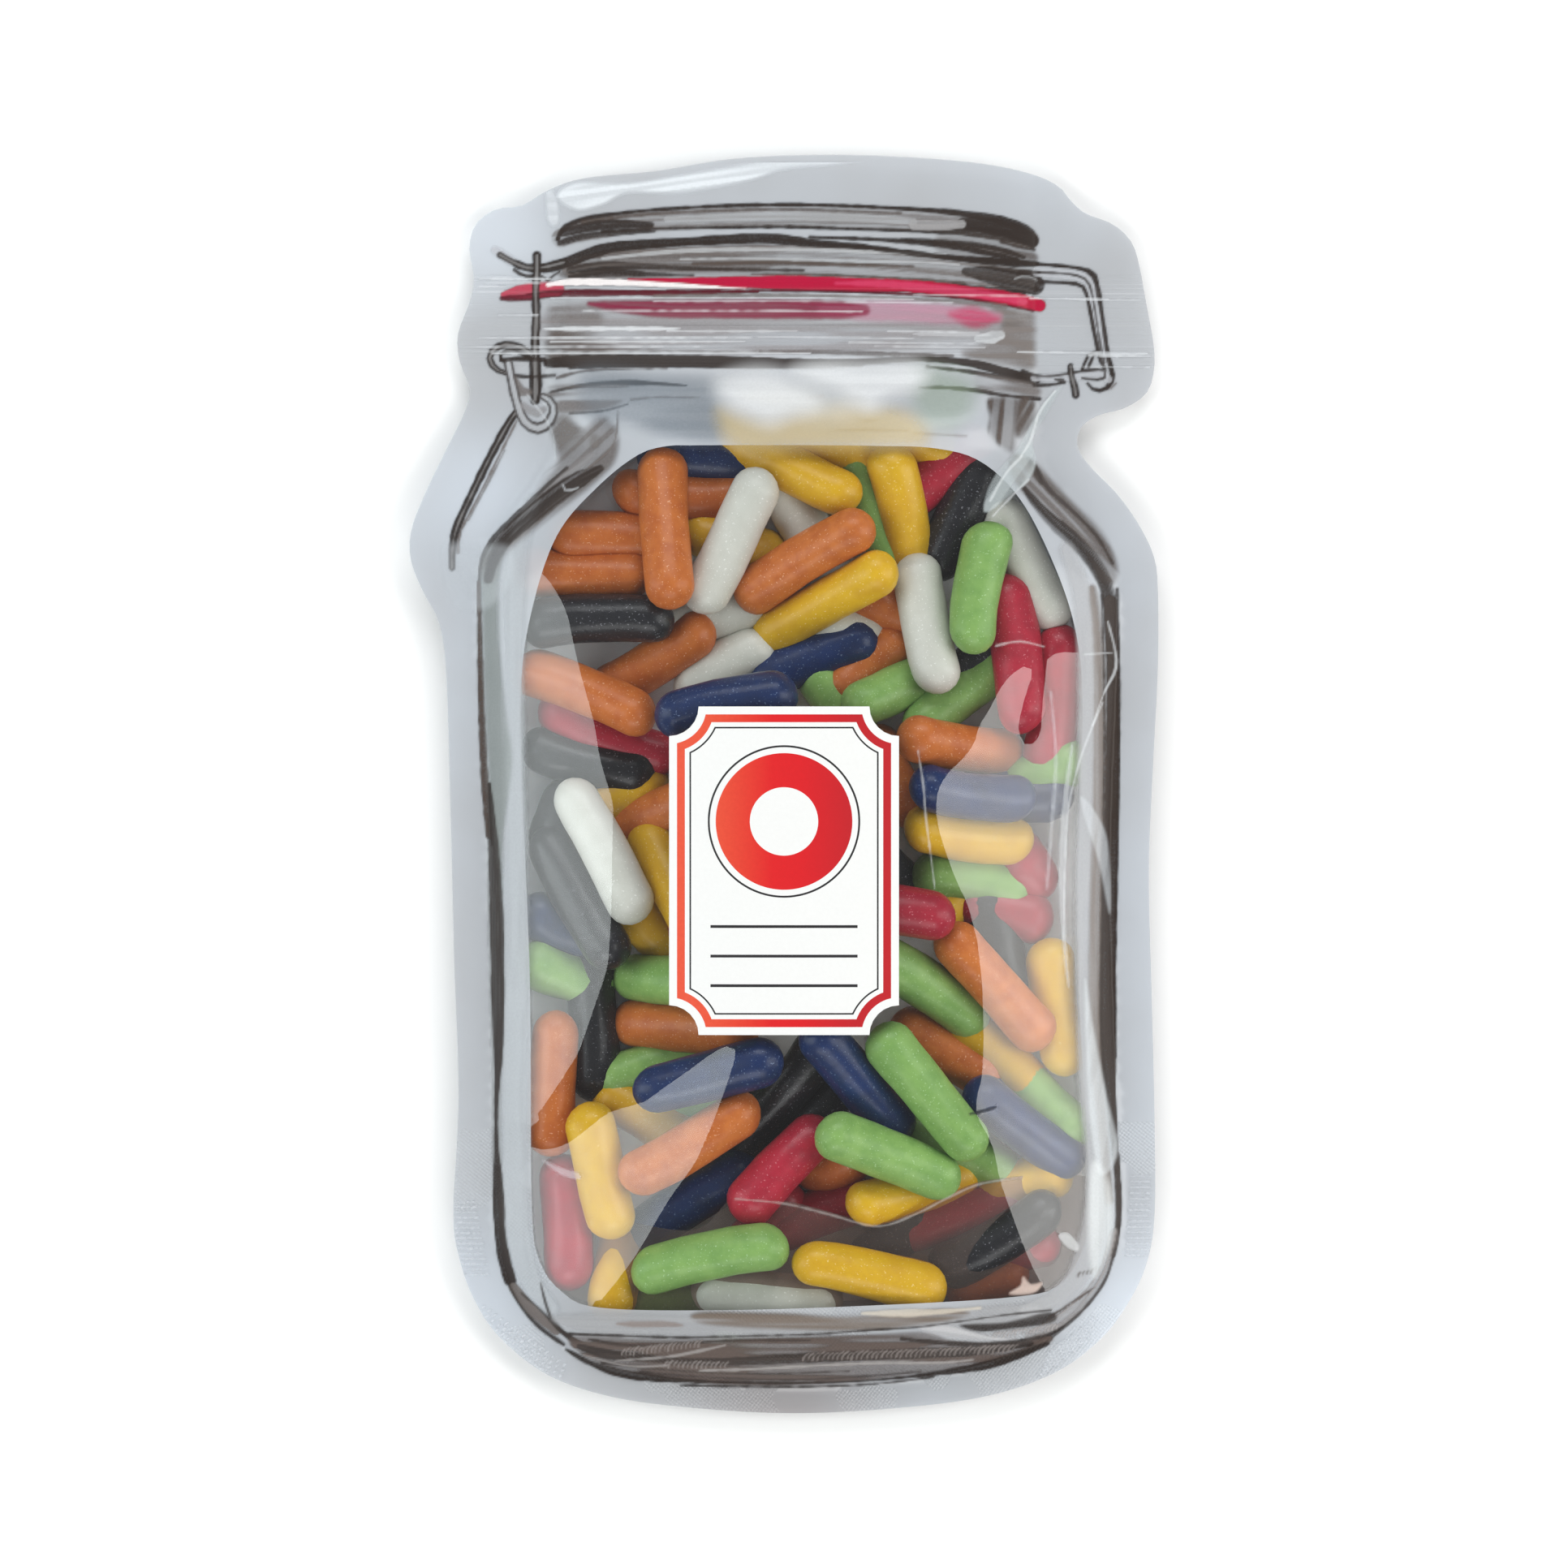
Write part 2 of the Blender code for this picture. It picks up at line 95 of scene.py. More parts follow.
def curve_through(knots, closed, per_span=12):
    """Points of a Catmull-Rom curve through the knots, with any further columns carried along."""
    points = np.array(knots, float)
    count = len(points)
    found = []
    for i in range(count if closed else count - 1):
        if closed:
            a, b, c, d = (points[(i + k) % count] for k in (-1, 0, 1, 2))
        else:
            a, b, c, d = (points[min(max(i + k, 0), count - 1)] for k in (-1, 0, 1, 2))
        for t in np.arange(per_span) / per_span:
            square, cube = 2 * a - 5 * b + 4 * c - d, 3 * b - a - 3 * c + d
            found.append(0.5 * (2 * b + (c - a) * t + square * t**2 + cube * t**3))
    if not closed:
        found.append(points[-1])
    return np.array(found)


def spaced(points, spacing, closed):
    line = np.vstack([points, points[:1]]) if closed else points
    run = np.concatenate([[0], np.cumsum(np.linalg.norm(np.diff(line, axis=0), axis=1))])
    count = max(3, round(run[-1] / spacing))
    at = np.linspace(0, run[-1], count + 1)
    if closed:
        at = at[:-1]
    return np.column_stack([np.interp(at, run, line[:, k]) for k in range(line.shape[1])])


def centred(points):
    return points - (points.min(0) + points.max(0)) / 2


def inside(x, y, loop):
    found = np.zeros(np.shape(x), bool)
    for (ax, ay), (bx, by) in zip(loop, np.roll(loop, -1, axis=0)):
        if ay != by:
            found ^= ((ay > y) != (by > y)) & (x < (bx - ax) * (y - ay) / (by - ay) + ax)
    return found


def distance(x, y, line, closed=True):
    ends = np.roll(line, -1, axis=0) if closed else line[1:]
    best = np.full(np.shape(x), np.inf)
    for (ax, ay), (bx, by) in zip(line, ends):
        dx, dy = bx - ax, by - ay
        t = np.clip(((x - ax) * dx + (y - ay) * dy) / max(dx * dx + dy * dy, 1e-12), 0, 1)
        best = np.minimum(best, np.hypot(x - ax - t * dx, y - ay - t * dy))
    return best


def smoothstep(t):
    t = np.clip(t, 0, 1)
    return t * t * (3 - 2 * t)


OUTLINE_LOOP = centred(curve_through(OUTLINE, closed=True))
WELD_LINE = curve_through(WELD, closed=False)
WINDOW_LOOP = curve_through(WINDOW, closed=True)
SWELL_LINE = curve_through(SWELL, closed=False)
LOWEST = int(np.argmin(WELD_LINE[:, 1]))


def weld_sides(y):
    left, right = WELD_LINE[: LOWEST + 1][::-1], WELD_LINE[LOWEST:]
    return np.interp(y, left[:, 1], left[:, 0]), np.interp(y, right[:, 1], right[:, 0])


def rim_level(x, y):
    body = smoothstep((64 - y) / 26)
    level = MOUTH_LEVEL + (RIM_LEVEL - MOUTH_LEVEL) * body
    level = level - BASE_DROOP * smoothstep((-66 - y) / 30)
    return level + RIM_WAVE * body * np.sin(y / 13 + x / 37)


def zip_ridge(x, y):
    across = smoothstep((3.2 - np.abs(y - ZIP_Y)) / 1.5)
    along = smoothstep((x - MOUTH_LEFT + 2.5) / 2) * smoothstep((MOUTH_RIGHT + 2.5 - x) / 2)
    return across * (ZIP_CRUSHED + (ZIP_RIDGE - ZIP_CRUSHED) * along)


def swell(x, y):
    left, right = weld_sides(y)
    middle, half = (left + right) / 2, np.maximum((right - left) / 2, 1e-3)
    offset = np.clip(np.abs(x - middle) / half, 0, 1)
    squareness = 2.4 + 9.6 * smoothstep((y - 50) / 16)
    rounding = (1 - offset**squareness) ** 0.8
    return np.interp(y, SWELL_LINE[:, 0], SWELL_LINE[:, 1]) * rounding * (y > WELD_LINE[:, 1].min())


def folds(x, y):
    total = 0.0
    for at_x, at_y, bearing, length, width, height in FOLDS:
        c, s = math.cos(math.radians(bearing)), math.sin(math.radians(bearing))
        along = ((x - at_x) * c + (y - at_y) * s) / (length / 2)
        across = ((y - at_y) * c - (x - at_x) * s) / (width / 2)
        total = total + height * np.exp(-(across**2)) * smoothstep(1.5 - np.abs(along))
    return total * smoothstep(swell(x, y) / 8)


def film_top(x, y):
    return rim_level(x, y) + RIM / 2 + swell(x, y) + zip_ridge(x, y) + folds(x, y)


def film_bottom(x, y):
    rise = swell(x, y)
    sag = BACK_SHARE * rise + NECK_SWELL * (1 - np.exp(-rise / NECK_SWELL)) + zip_ridge(x, y)
    level = rim_level(x, y) - RIM / 2
    return level - np.minimum(level, sag)


# Mesh and material helpers
def add_piece(name, verts, faces, material):
    """A smooth piece of the filled pouch."""
    mesh = bpy.data.meshes.new(name)
    faces = faces.tolist() if isinstance(faces, np.ndarray) else faces
    mesh.from_pydata((np.asarray(verts, float) * MM).tolist(), [], faces)
    mesh.update()
    mesh.shade_smooth()
    mesh.materials.append(material)
    obj = bpy.data.objects.new(name, mesh)
    bpy.context.scene.collection.objects.link(obj)
    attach(obj, "root")
    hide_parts("pouch")
    return obj


def srgb(r, g, b):
    """Linear colour from 0-255 sRGB values."""
    shares = (r / 255, g / 255, b / 255)
    return (*(c / 12.92 if c <= 0.04045 else ((c + 0.055) / 1.055) ** 2.4 for c in shares), 1.0)


class Nodes:
    """Builds a material's node tree."""

    def __init__(self, name):
        self.material = bpy.data.materials.new(name)
        self.material.use_nodes = True
        self.tree = self.material.node_tree
        self.tree.nodes.clear()
        self.output = self.tree.nodes.new("ShaderNodeOutputMaterial")

    def add(self, kind, settings=None, **inputs):
        node = self.tree.nodes.new(kind)
        for key, value in (settings or {}).items():
            setattr(node, key, value)
        for key, value in inputs.items():
            by_number = key[0] == "i" and key[1:].isdigit()
            self.put(node.inputs[int(key[1:]) if by_number else key.replace("_", " ")], value)
        return node

    def put(self, socket, value):
        if isinstance(value, bpy.types.NodeSocket):
            self.tree.links.new(value, socket)
        elif isinstance(value, bpy.types.Node):
            self.tree.links.new(value.outputs[0], socket)
        else:
            socket.default_value = value

    def math(self, operation, a, b=None, c=None, clamp=False):
        node = self.add("ShaderNodeMath", {"operation": operation, "use_clamp": clamp}, i0=a)
        if b is not None:
            self.put(node.inputs[1], b)
        if c is not None:
            self.put(node.inputs[2], c)
        return node.outputs[0]

    def ramp(self, fac, stops, ease="LINEAR"):
        node = self.add("ShaderNodeValToRGB", i0=fac)
        node.color_ramp.interpolation = ease
        while len(node.color_ramp.elements) < len(stops):
            node.color_ramp.elements.new(0.5)
        for element, (at, colour) in zip(node.color_ramp.elements, stops):
            element.position = at
            element.color = colour if len(colour) == 4 else (*colour, 1)
        return node.outputs[0]

    def mix(self, fac, a, b):
        node = self.add("ShaderNodeMix", {"data_type": "RGBA", "blend_type": "MIX"})
        self.put(node.inputs[0], fac)
        self.put(node.inputs[6], a)
        self.put(node.inputs[7], b)
        return node.outputs[2]

    def noise(self, vector, scale, detail=3.0, roughness=0.55):
        return self.add("ShaderNodeTexNoise", Vector=vector, Scale=scale, Detail=detail,
                        Roughness=roughness).outputs[0]

    def scaled(self, vector, x, y, z):
        return self.add("ShaderNodeMapping", Vector=vector, Scale=(x, y, z)).outputs[0]

    def where(self):
        return self.add("ShaderNodeTexCoord").outputs["Object"]

    def bump(self, height, strength, distance):
        return self.add("ShaderNodeBump", Strength=strength, Distance=distance, Height=height)

    def between(self, value, low, high):
        above = self.math("GREATER_THAN", value, low)
        return self.math("MULTIPLY", above, self.math("LESS_THAN", value, high))

    def hypot(self, a, b):
        return self.math("SQRT", self.math("ADD", self.math("POWER", a, 2.0), self.math("POWER", b, 2.0)))

    def finish(self, shader):
        self.tree.links.new(shader.outputs[0], self.output.inputs["Surface"])
        return self.material

    def finish_over(self, fac, below, above):
        return self.finish(self.add("ShaderNodeMixShader", i0=fac, i1=below, i2=above))


def grey(value):
    return (value, value, value, 1)


# Film materials
ZIP_BAND = (0.0645, 0.0785)
SEAL_TOP, SEAL_WAVES, SEAL_SLANT = -0.052, 9500.0, 0.12
# centre, reach and colour of the paler places in the frosted border, which are painted sheen, and of the
# darker place towards its bottom edge
FROST_SHEEN_AND_DARK_SPOTS = (
    ((0.052, -0.080, 0), 0.020, (222, 229, 238)), ((-0.045, -0.080, 0), 0.020, (206, 213, 222)),
    ((-0.046, 0.045, 0), 0.016, (212, 219, 228)), ((0.0, -0.100, 0), 0.026, (164, 158, 158)),
    ((-0.044, 0.084, 0), 0.014, (214, 220, 228)),
)


def film_relief(n, where):
    """Height of the film's bump: the zip's drawn lines, the sealing bars' fine hatching and soft dents."""
    parts = n.add("ShaderNodeSeparateXYZ", i0=where)
    x, y = parts.outputs[0], parts.outputs[1]
    lines = n.noise(n.scaled(where, 12, 1600, 12), 1.0, 2.0)
    zip_part = n.math("MULTIPLY", lines, n.between(y, *ZIP_BAND))
    slant_x = n.math("ADD", x, n.math("MULTIPLY", y, SEAL_SLANT))
    slant_y = n.math("SUBTRACT", y, n.math("MULTIPLY", x, SEAL_SLANT))
    waves = (n.math("SINE", n.math("MULTIPLY", s, SEAL_WAVES)) for s in (slant_x, slant_y))
    hatch = n.math("MULTIPLY", *waves)
    in_seal = n.math("LESS_THAN", y, SEAL_TOP)
    where_pressed = n.math("MULTIPLY", in_seal, n.math("GREATER_THAN", n.noise(where, 60.0, 2.0), 0.5))
    pressed = n.math("MULTIPLY", hatch, n.math("MULTIPLY", where_pressed, 0.35))
    soft = n.math("MULTIPLY", n.noise(where, 45.0, 3.0), 0.8)
    return n.math("ADD", n.math("ADD", n.math("MULTIPLY", zip_part, 1.4), pressed), soft)


def frosted_material(name, tint, cover):
    n = Nodes(name)
    where = n.where()
    cloud = n.noise(where, 22.0, 3.0)
    colour = n.mix(n.ramp(cloud, [(0.35, grey(0)), (0.65, grey(1))]), tint, srgb(196, 201, 208))
    flat = n.scaled(where, 1, 1, 0)
    # paler spots are painted sheen; the one below the base makes the border darker towards the bottom edge
    for centre, reach, shade in FROST_SHEEN_AND_DARK_SPOTS:
        away = n.add("ShaderNodeVectorMath", {"operation": "DISTANCE"}, i0=flat, i1=centre)
        share = n.math("DIVIDE", away.outputs["Value"], reach)
        near = n.ramp(share, [(0.0, grey(0.85)), (1.0, grey(0))], "EASE")
        colour = n.mix(near, colour, srgb(*shade))
    bump = n.bump(film_relief(n, where), 0.55, 0.00025)
    shader = n.add("ShaderNodeBsdfPrincipled", Roughness=0.24, Base_Color=colour, Normal=bump)
    clear = n.add("ShaderNodeBsdfTransparent", Color=(0.95, 0.96, 0.98, 1))
    fac = n.math("ADD", cover - 0.05, n.math("MULTIPLY", cloud, 0.1), clamp=True)
    return n.finish_over(fac, clear, shader)


def clear_material(name, tint, strength, creased):
    """Clear film: see-through, with sharp reflections that grow towards the edges."""
    n = Nodes(name)
    where = n.where()
    bump = n.bump(n.noise(where, 70.0, 2.0), 0.25, 0.0003)
    if creased:
        lean = n.add("ShaderNodeAttribute", {"attribute_name": "lean"})
        n.put(bump.inputs["Normal"], lean.outputs["Vector"])
    facing = n.add("ShaderNodeLayerWeight", Blend=0.5).outputs["Facing"]
    shine = n.math("MULTIPLY_ADD", n.math("POWER", facing, 5.0), 0.96 * strength, 0.04 * strength)
    haze = n.math("MULTIPLY", n.noise(where, 260.0, 4.0), 0.015)
    gloss = n.add("ShaderNodeBsdfAnisotropic", Roughness=0.07, Color=(1, 1, 1, 1), Normal=bump)
    clear = n.add("ShaderNodeBsdfTransparent", Color=tint)
    return n.finish_over(n.math("ADD", shine, haze, clamp=True), clear, gloss)


def ink_and_highlight_material(name):
    """Ink on the film, and on the front sheets the painted highlights of the film and zip: the painted
    attribute gives colour and cover, broken up by fine bristle marks.
    """
    n = Nodes(name)
    paint = n.add("ShaderNodeAttribute", {"attribute_name": "paint"})
    where = n.where()
    grain = n.noise(where, 2600.0, 2.0)
    broken = n.math("ADD", 0.82, n.math("MULTIPLY", grain, 0.34))
    cover = n.math("MULTIPLY", paint.outputs["Alpha"], broken, clamp=True)
    colour = n.mix(n.math("MULTIPLY", grain, 0.25), paint.outputs["Color"], (0.02, 0.016, 0.014, 1))
    colour = n.mix(0.55, paint.outputs["Color"], colour)
    bump = n.bump(film_relief(n, where), 0.4, 0.0002)
    ink = n.add("ShaderNodeBsdfPrincipled", Roughness=0.45, Specular_IOR_Level=0.25, Base_Color=colour,
                Normal=bump)
    return n.finish_over(cover, n.add("ShaderNodeBsdfTransparent", Color=(1, 1, 1, 1)), ink)


# Films
# Facets of the taut front film between its creases; each leans to the left (-1) or to the right (1)
FACETS = (
    (-1, (
        (-52, 37), (-43, 36), (-37, 32.5), (-33.5, 27), (-31.5, 18), (-29, 9), (-28.3, 4), (-26.2, -3),
        (-26.5, -20), (-27, -28), (-31.5, -41), (-36, -48), (-40.8, -54.4), (-52, -55),
    )),
    (-1, (
        (-52, -55.2), (-36, -56.2), (-33, -55.2), (-27, -50.4), (-21, -48.4), (-15, -44), (-10, -40.3),
        (-7.2, -39.4), (-7.5, -42), (-9, -46.5), (-10.8, -51.5), (-13.5, -57.5), (-17, -62.5),
        (-20.3, -68), (-23.4, -73.2), (-26.4, -77.2), (-30.5, -82), (-52, -82),
    )),
    (1, (
        (55, 19.9), (42, 20.1), (40.6, 19.9), (39.6, 12), (39.4, 7.6), (37.6, 5.4), (36.2, 6.4),
        (35.6, 8.6), (36.6, 13), (38.4, 18.4), (37, 18), (34.6, 16.4), (33, 14.6), (32.4, 12.4),
        (30.6, 10.4), (29.8, 8.6), (29, 6), (27, 3.4), (24.4, 1), (23.3, -1.5), (23.2, -5), (24, -8.4),
        (26, -14), (28.2, -18.5), (29.6, -24), (30.4, -31), (30.6, -40), (30.2, -46), (28.9, -49.4),
        (30.6, -52.4), (32.2, -56), (33, -60.4), (35.4, -67), (37.6, -73), (40.8, -79.4), (55, -82),
    )),
)


def facet_loop(corners):
    """The facet's outline, with slightly rounded corners."""
    return curve_through(spaced(np.array(corners, float), 3.0, closed=True), closed=True, per_span=4)


GENTLE_TILT, FACET_TILT = math.tan(math.radians(13)), math.tan(math.radians(30.5))


def leaning(x, y):
    """Shading normal of the front film: gentle in the middle, tilted to one side on the facets."""
    step = 0.6
    slope_x = (film_top(x + step, y) - film_top(x - step, y)) / (2 * step)
    slope_y = (film_top(x, y + step) - film_top(x, y - step)) / (2 * step)
    gentle = np.minimum(1, GENTLE_TILT / np.maximum(np.hypot(slope_x, slope_y), 1e-6))
    slope_x, slope_y = slope_x * gentle, slope_y * gentle
    for side, corners in FACETS:
        within = inside(x, y, facet_loop(corners))
        tilt = FACET_TILT * (1 + 0.05 * np.sin(y / 9 + x / 5))
        slope_x = np.where(within, -side * tilt, slope_x)
        slope_y = np.where(within, slope_y * 0.3, slope_y)
    normal = np.column_stack([-slope_x, -slope_y, np.ones_like(x)])
    return normal / np.linalg.norm(normal, axis=1)[:, None]


# rows of points across the zip, where the film's ridge is sharp
ZIP_REACH, ZIP_ROW_GAP, ZIP_POINT_GAP = 3.8, 0.38, 0.9
# half the width of a crease beside a facet
CREASE = 0.14


def triangulated(spacing):
    """Fine triangles over the outline, with edges along the window and the weld."""
    outline = spaced(OUTLINE_LOOP, spacing, closed=True)
    window = spaced(WINDOW_LOOP, spacing, closed=True)
    weld = spaced(WELD_LINE[WELD_LINE[:, 1] < 96], spacing, closed=False)
    low, high = outline.min(0), outline.max(0)
    rows = []
    for i, y in enumerate(np.arange(low[1], high[1], spacing * math.sqrt(3) / 2)):
        x = np.arange(low[0] + spacing / 2 * (i % 2), high[0], spacing)
        rows.append(np.column_stack([x, np.full(len(x), y)]))
    loose = np.vstack(rows)
    loose = loose[np.abs(loose[:, 1] - ZIP_Y) > 4]
    for y in np.arange(ZIP_Y - ZIP_REACH, ZIP_Y + ZIP_REACH + 0.1, ZIP_ROW_GAP):
        x = np.arange(low[0] + spacing * 0.6, high[0] - spacing * 0.6, ZIP_POINT_GAP)
        loose = np.vstack([loose, np.column_stack([x, np.full(len(x), y)])])
    keep = inside(*loose.T, outline)
    for line, closed in ((outline, True), (window, True), (weld, False)):
        keep &= distance(*loose.T, line, closed=closed) > spacing * 0.5
    verts = [Vector(p) for p in outline]
    edges, creases = [], []
    for _, corners in FACETS:
        loop = spaced(facet_loop(corners), spacing, closed=True)
        away = np.roll(loop, -1, axis=0) - np.roll(loop, 1, axis=0)
        away = np.column_stack([away[:, 1], -away[:, 0]]) / np.linalg.norm(away, axis=1)[:, None]
        keep &= distance(*loose.T, loop) > spacing * 0.6
        for off in (-CREASE, CREASE):
            shifted = loop + away * off
            good = inside(*shifted.T, WINDOW_LOOP) & (distance(*shifted.T, WINDOW_LOOP) > 1.0)
            for run in np.split(np.arange(len(loop)), np.flatnonzero(np.diff(good.astype(int))) + 1):
                if good[run[0]] and len(run) > 2:
                    creases.append((shifted[run], False))
    for line, closed in ((window, True), (weld, False), *creases):
        first = len(verts)
        verts += [Vector(p) for p in line]
        edges += [(first + i, first + i + 1) for i in range(len(line) - 1)]
        if closed:
            edges.append((first + len(line) - 1, first))
    verts += [Vector(p) for p in loose[keep]]
    border = list(range(len(outline)))[::-1]
    points, _, faces, _, _, _ = delaunay_2d_cdt(verts, edges, [border], 1, 1e-4)
    points, faces = np.array([tuple(p) for p in points]), np.array([tuple(f) for f in faces])
    a, b, c = (points[faces[:, k]] for k in range(3))
    turned = (b[:, 0] - a[:, 0]) * (c[:, 1] - a[:, 1]) - (b[:, 1] - a[:, 1]) * (c[:, 0] - a[:, 0]) < 0
    faces[turned] = faces[turned][:, ::-1]
    return points, faces


def part_of(points, faces, chosen):
    """The chosen faces with only the points that they use."""
    faces = faces[chosen]
    used, fresh = np.unique(faces, return_inverse=True)
    return points[used], fresh.reshape(faces.shape)


def make_films():
    points, faces = triangulated(1.5)
    middle = points[faces].mean(axis=1)
    in_window = inside(*middle.T, WINDOW_LOOP)
    frosted = frosted_material("film_frosted", srgb(186, 188, 192), 0.78)
    clear = {side: clear_material("film_clear_" + side, (0.97, 0.98, 0.985, 1), 1.45, side == "front")
             for side in ("front", "back")}
    for side, height, lift in (("front", film_top, -0.15), ("back", film_bottom, 0.12)):
        for name, chosen, made in (("border", ~in_window, frosted), ("window", in_window, clear[side])):
            xy, tri = part_of(points, faces, chosen)
            if side == "back":
                tri = tri[:, ::-1]
            z = height(*xy.T) + lift
            piece = add_piece(f"film_{side}_{name}", np.column_stack([xy, z]), tri, made)
            if side == "front" and name == "window":
                layer = piece.data.attributes.new("lean", "FLOAT_VECTOR", "POINT")
                layer.data.foreach_set("vector", leaning(*xy.T).astype(np.float32).ravel())


# Print, and the painted highlights that share its sheets at the front
def value_noise(x, y, seed):
    """Smooth noise from 0 to 1."""

    def corner(i, j):
        h = np.sin(i * 127.1 + j * 311.7 + seed * 74.7) * 43758.5453
        return h - np.floor(h)

    i, j = np.floor(x), np.floor(y)
    u, v = smoothstep(x - i), smoothstep(y - j)
    low = corner(i, j) * (1 - u) + corner(i + 1, j) * u
    high = corner(i, j + 1) * (1 - u) + corner(i + 1, j + 1) * u
    return low * (1 - v) + high * v


class Print:
    """Brush strokes laid over one another on a grid."""

    def __init__(self, step):
        low, high = OUTLINE_LOOP.min(0) + 1, OUTLINE_LOOP.max(0) - 1
        self.step = step
        self.x, self.y = np.meshgrid(np.arange(low[0], high[0], step), np.arange(low[1], high[1], step))
        self.colour = np.zeros((*self.x.shape, 3))
        self.cover = np.zeros(self.x.shape)
        self.count = 0

    def lay(self, rows, cols, colour, alpha):
        below = self.cover[rows, cols] * (1 - alpha)
        total = below + alpha
        share = np.where(total > 1e-6, alpha / np.maximum(total, 1e-6), 0)[..., None]
        self.colour[rows, cols] = self.colour[rows, cols] * (1 - share) + np.array(srgb(*colour)[:3]) * share
        self.cover[rows, cols] = total

    def window(self, low, high):
        """Rows and columns of the grid between two corners."""
        rows = slice(*np.searchsorted(self.y[:, 0], [low[1], high[1]]))
        return rows, slice(*np.searchsorted(self.x[0], [low[0], high[0]]))

    def stroke(self, colour, cover, points, soft=0.22, streak=0.25, fine=2.6):
        """A stroke through (x, y, width) points; streak breaks it up along its length."""
        self.count += 1
        soft = max(soft, 1.2 * self.step)
        line = spaced(curve_through(points, closed=False, per_span=8), 1.2, closed=False)
        reach = line[:, 2].max() / 2 + soft + 0.3
        rows, cols = self.window(line[:, :2].min(0) - reach, line[:, :2].max(0) + reach)
        x, y = self.x[rows, cols], self.y[rows, cols]
        if x.size == 0:
            return
        best = np.full(x.shape, np.inf)
        along, across, width = np.zeros(x.shape), np.zeros(x.shape), np.zeros(x.shape)
        run = 0.0
        for (ax, ay, aw), (bx, by, bw) in zip(line[:-1], line[1:]):
            dx, dy = bx - ax, by - ay
            length = max(math.hypot(dx, dy), 1e-6)
            t = np.clip(((x - ax) * dx + (y - ay) * dy) / length**2, 0, 1)
            off_x, off_y = x - ax - t * dx, y - ay - t * dy
            d = np.hypot(off_x, off_y)
            nearer = d < best
            best[nearer] = d[nearer]
            along[nearer] = (run + t * length)[nearer]
            side = (off_y * dx - off_x * dy) / length
            across[nearer] = side[nearer]
            width[nearer] = (aw + (bw - aw) * t)[nearer]
            run += length
        width = np.maximum(width, 0.9 * self.step)
        wobble = 0.12 * (value_noise(along * 0.9, across * 0 + self.count, 3.1) - 0.5)
        alpha = cover * smoothstep((width / 2 + soft / 2 + wobble - best) / soft)
        bristle = value_noise(along * 0.045, across * fine, self.count * 1.7)
        bristle = 0.6 * bristle + 0.4 * value_noise(along * 0.12, across * fine * 2.3, self.count * 0.9 + 5)
        alpha = alpha * (1 - streak * np.clip(width / 1.6, 0.2, 1) * smoothstep((bristle - 0.35) / 0.35))
        self.lay(rows, cols, colour, alpha)

    def patch(self, colour, cover, corners, soft=0.6, streak=0.4, turn=0.0):
        """A washed area with a soft edge; turn is the way its streaks run, in degrees."""
        self.count += 1
        loop = curve_through(corners, closed=True, per_span=6)
        rows, cols = self.window(loop.min(0) - soft, loop.max(0) + soft)
        x, y = self.x[rows, cols], self.y[rows, cols]
        if x.size == 0:
            return
        d = distance(x, y, loop) * np.where(inside(x, y, loop), 1, -1)
        c, s = math.cos(math.radians(turn)), math.sin(math.radians(turn))
        u, v = x * c + y * s, y * c - x * s
        bristle = value_noise(u * 0.07, v * 1.5, self.count * 2.3)
        alpha = cover * smoothstep(d / (2 * soft) + 0.5) * (1 - streak * smoothstep((bristle - 0.35) / 0.35))
        self.lay(rows, cols, colour, alpha)

    def wire(self, points, core=(140, 138, 138), share=0.34, ink=(48, 41, 38)):
        """A drawn wire: a dark stroke with a lighter middle."""
        self.stroke(ink, 0.95, points, soft=0.18, streak=0.12)
        inner = [(x, y, w * share) for x, y, w in points]
        self.stroke(core, 0.75, inner, soft=0.2, streak=0.35)

    def hatch(self, colour, cover, start, end, count, length, turn, width):
        """A row of short curved marks."""
        for i in range(count):
            t = (i + 0.5) / count
            x, y = start[0] + (end[0] - start[0]) * t, start[1] + (end[1] - start[1]) * t
            c, s = math.cos(math.radians(turn)), math.sin(math.radians(turn))
            size = length * (0.75 + 0.5 * value_noise(np.array(i * 1.3), np.array(0.0), count))
            bow = 0.18 * size
            self.stroke(colour, cover, [
                (x - c * size / 2, y - s * size / 2, width * 0.6), (x - s * bow, y + c * bow, width),
                (x + c * size / 2, y + s * size / 2, width * 0.5)], soft=0.16, streak=0.0)


INK, BROWN, SMOKE, MIST, GLASS = (46, 37, 33), (80, 67, 60), (116, 107, 103), (160, 158, 159), (206, 209, 212)
CRIMSON, ROSE, WINE = (180, 8, 56), (208, 66, 104), (92, 14, 32)


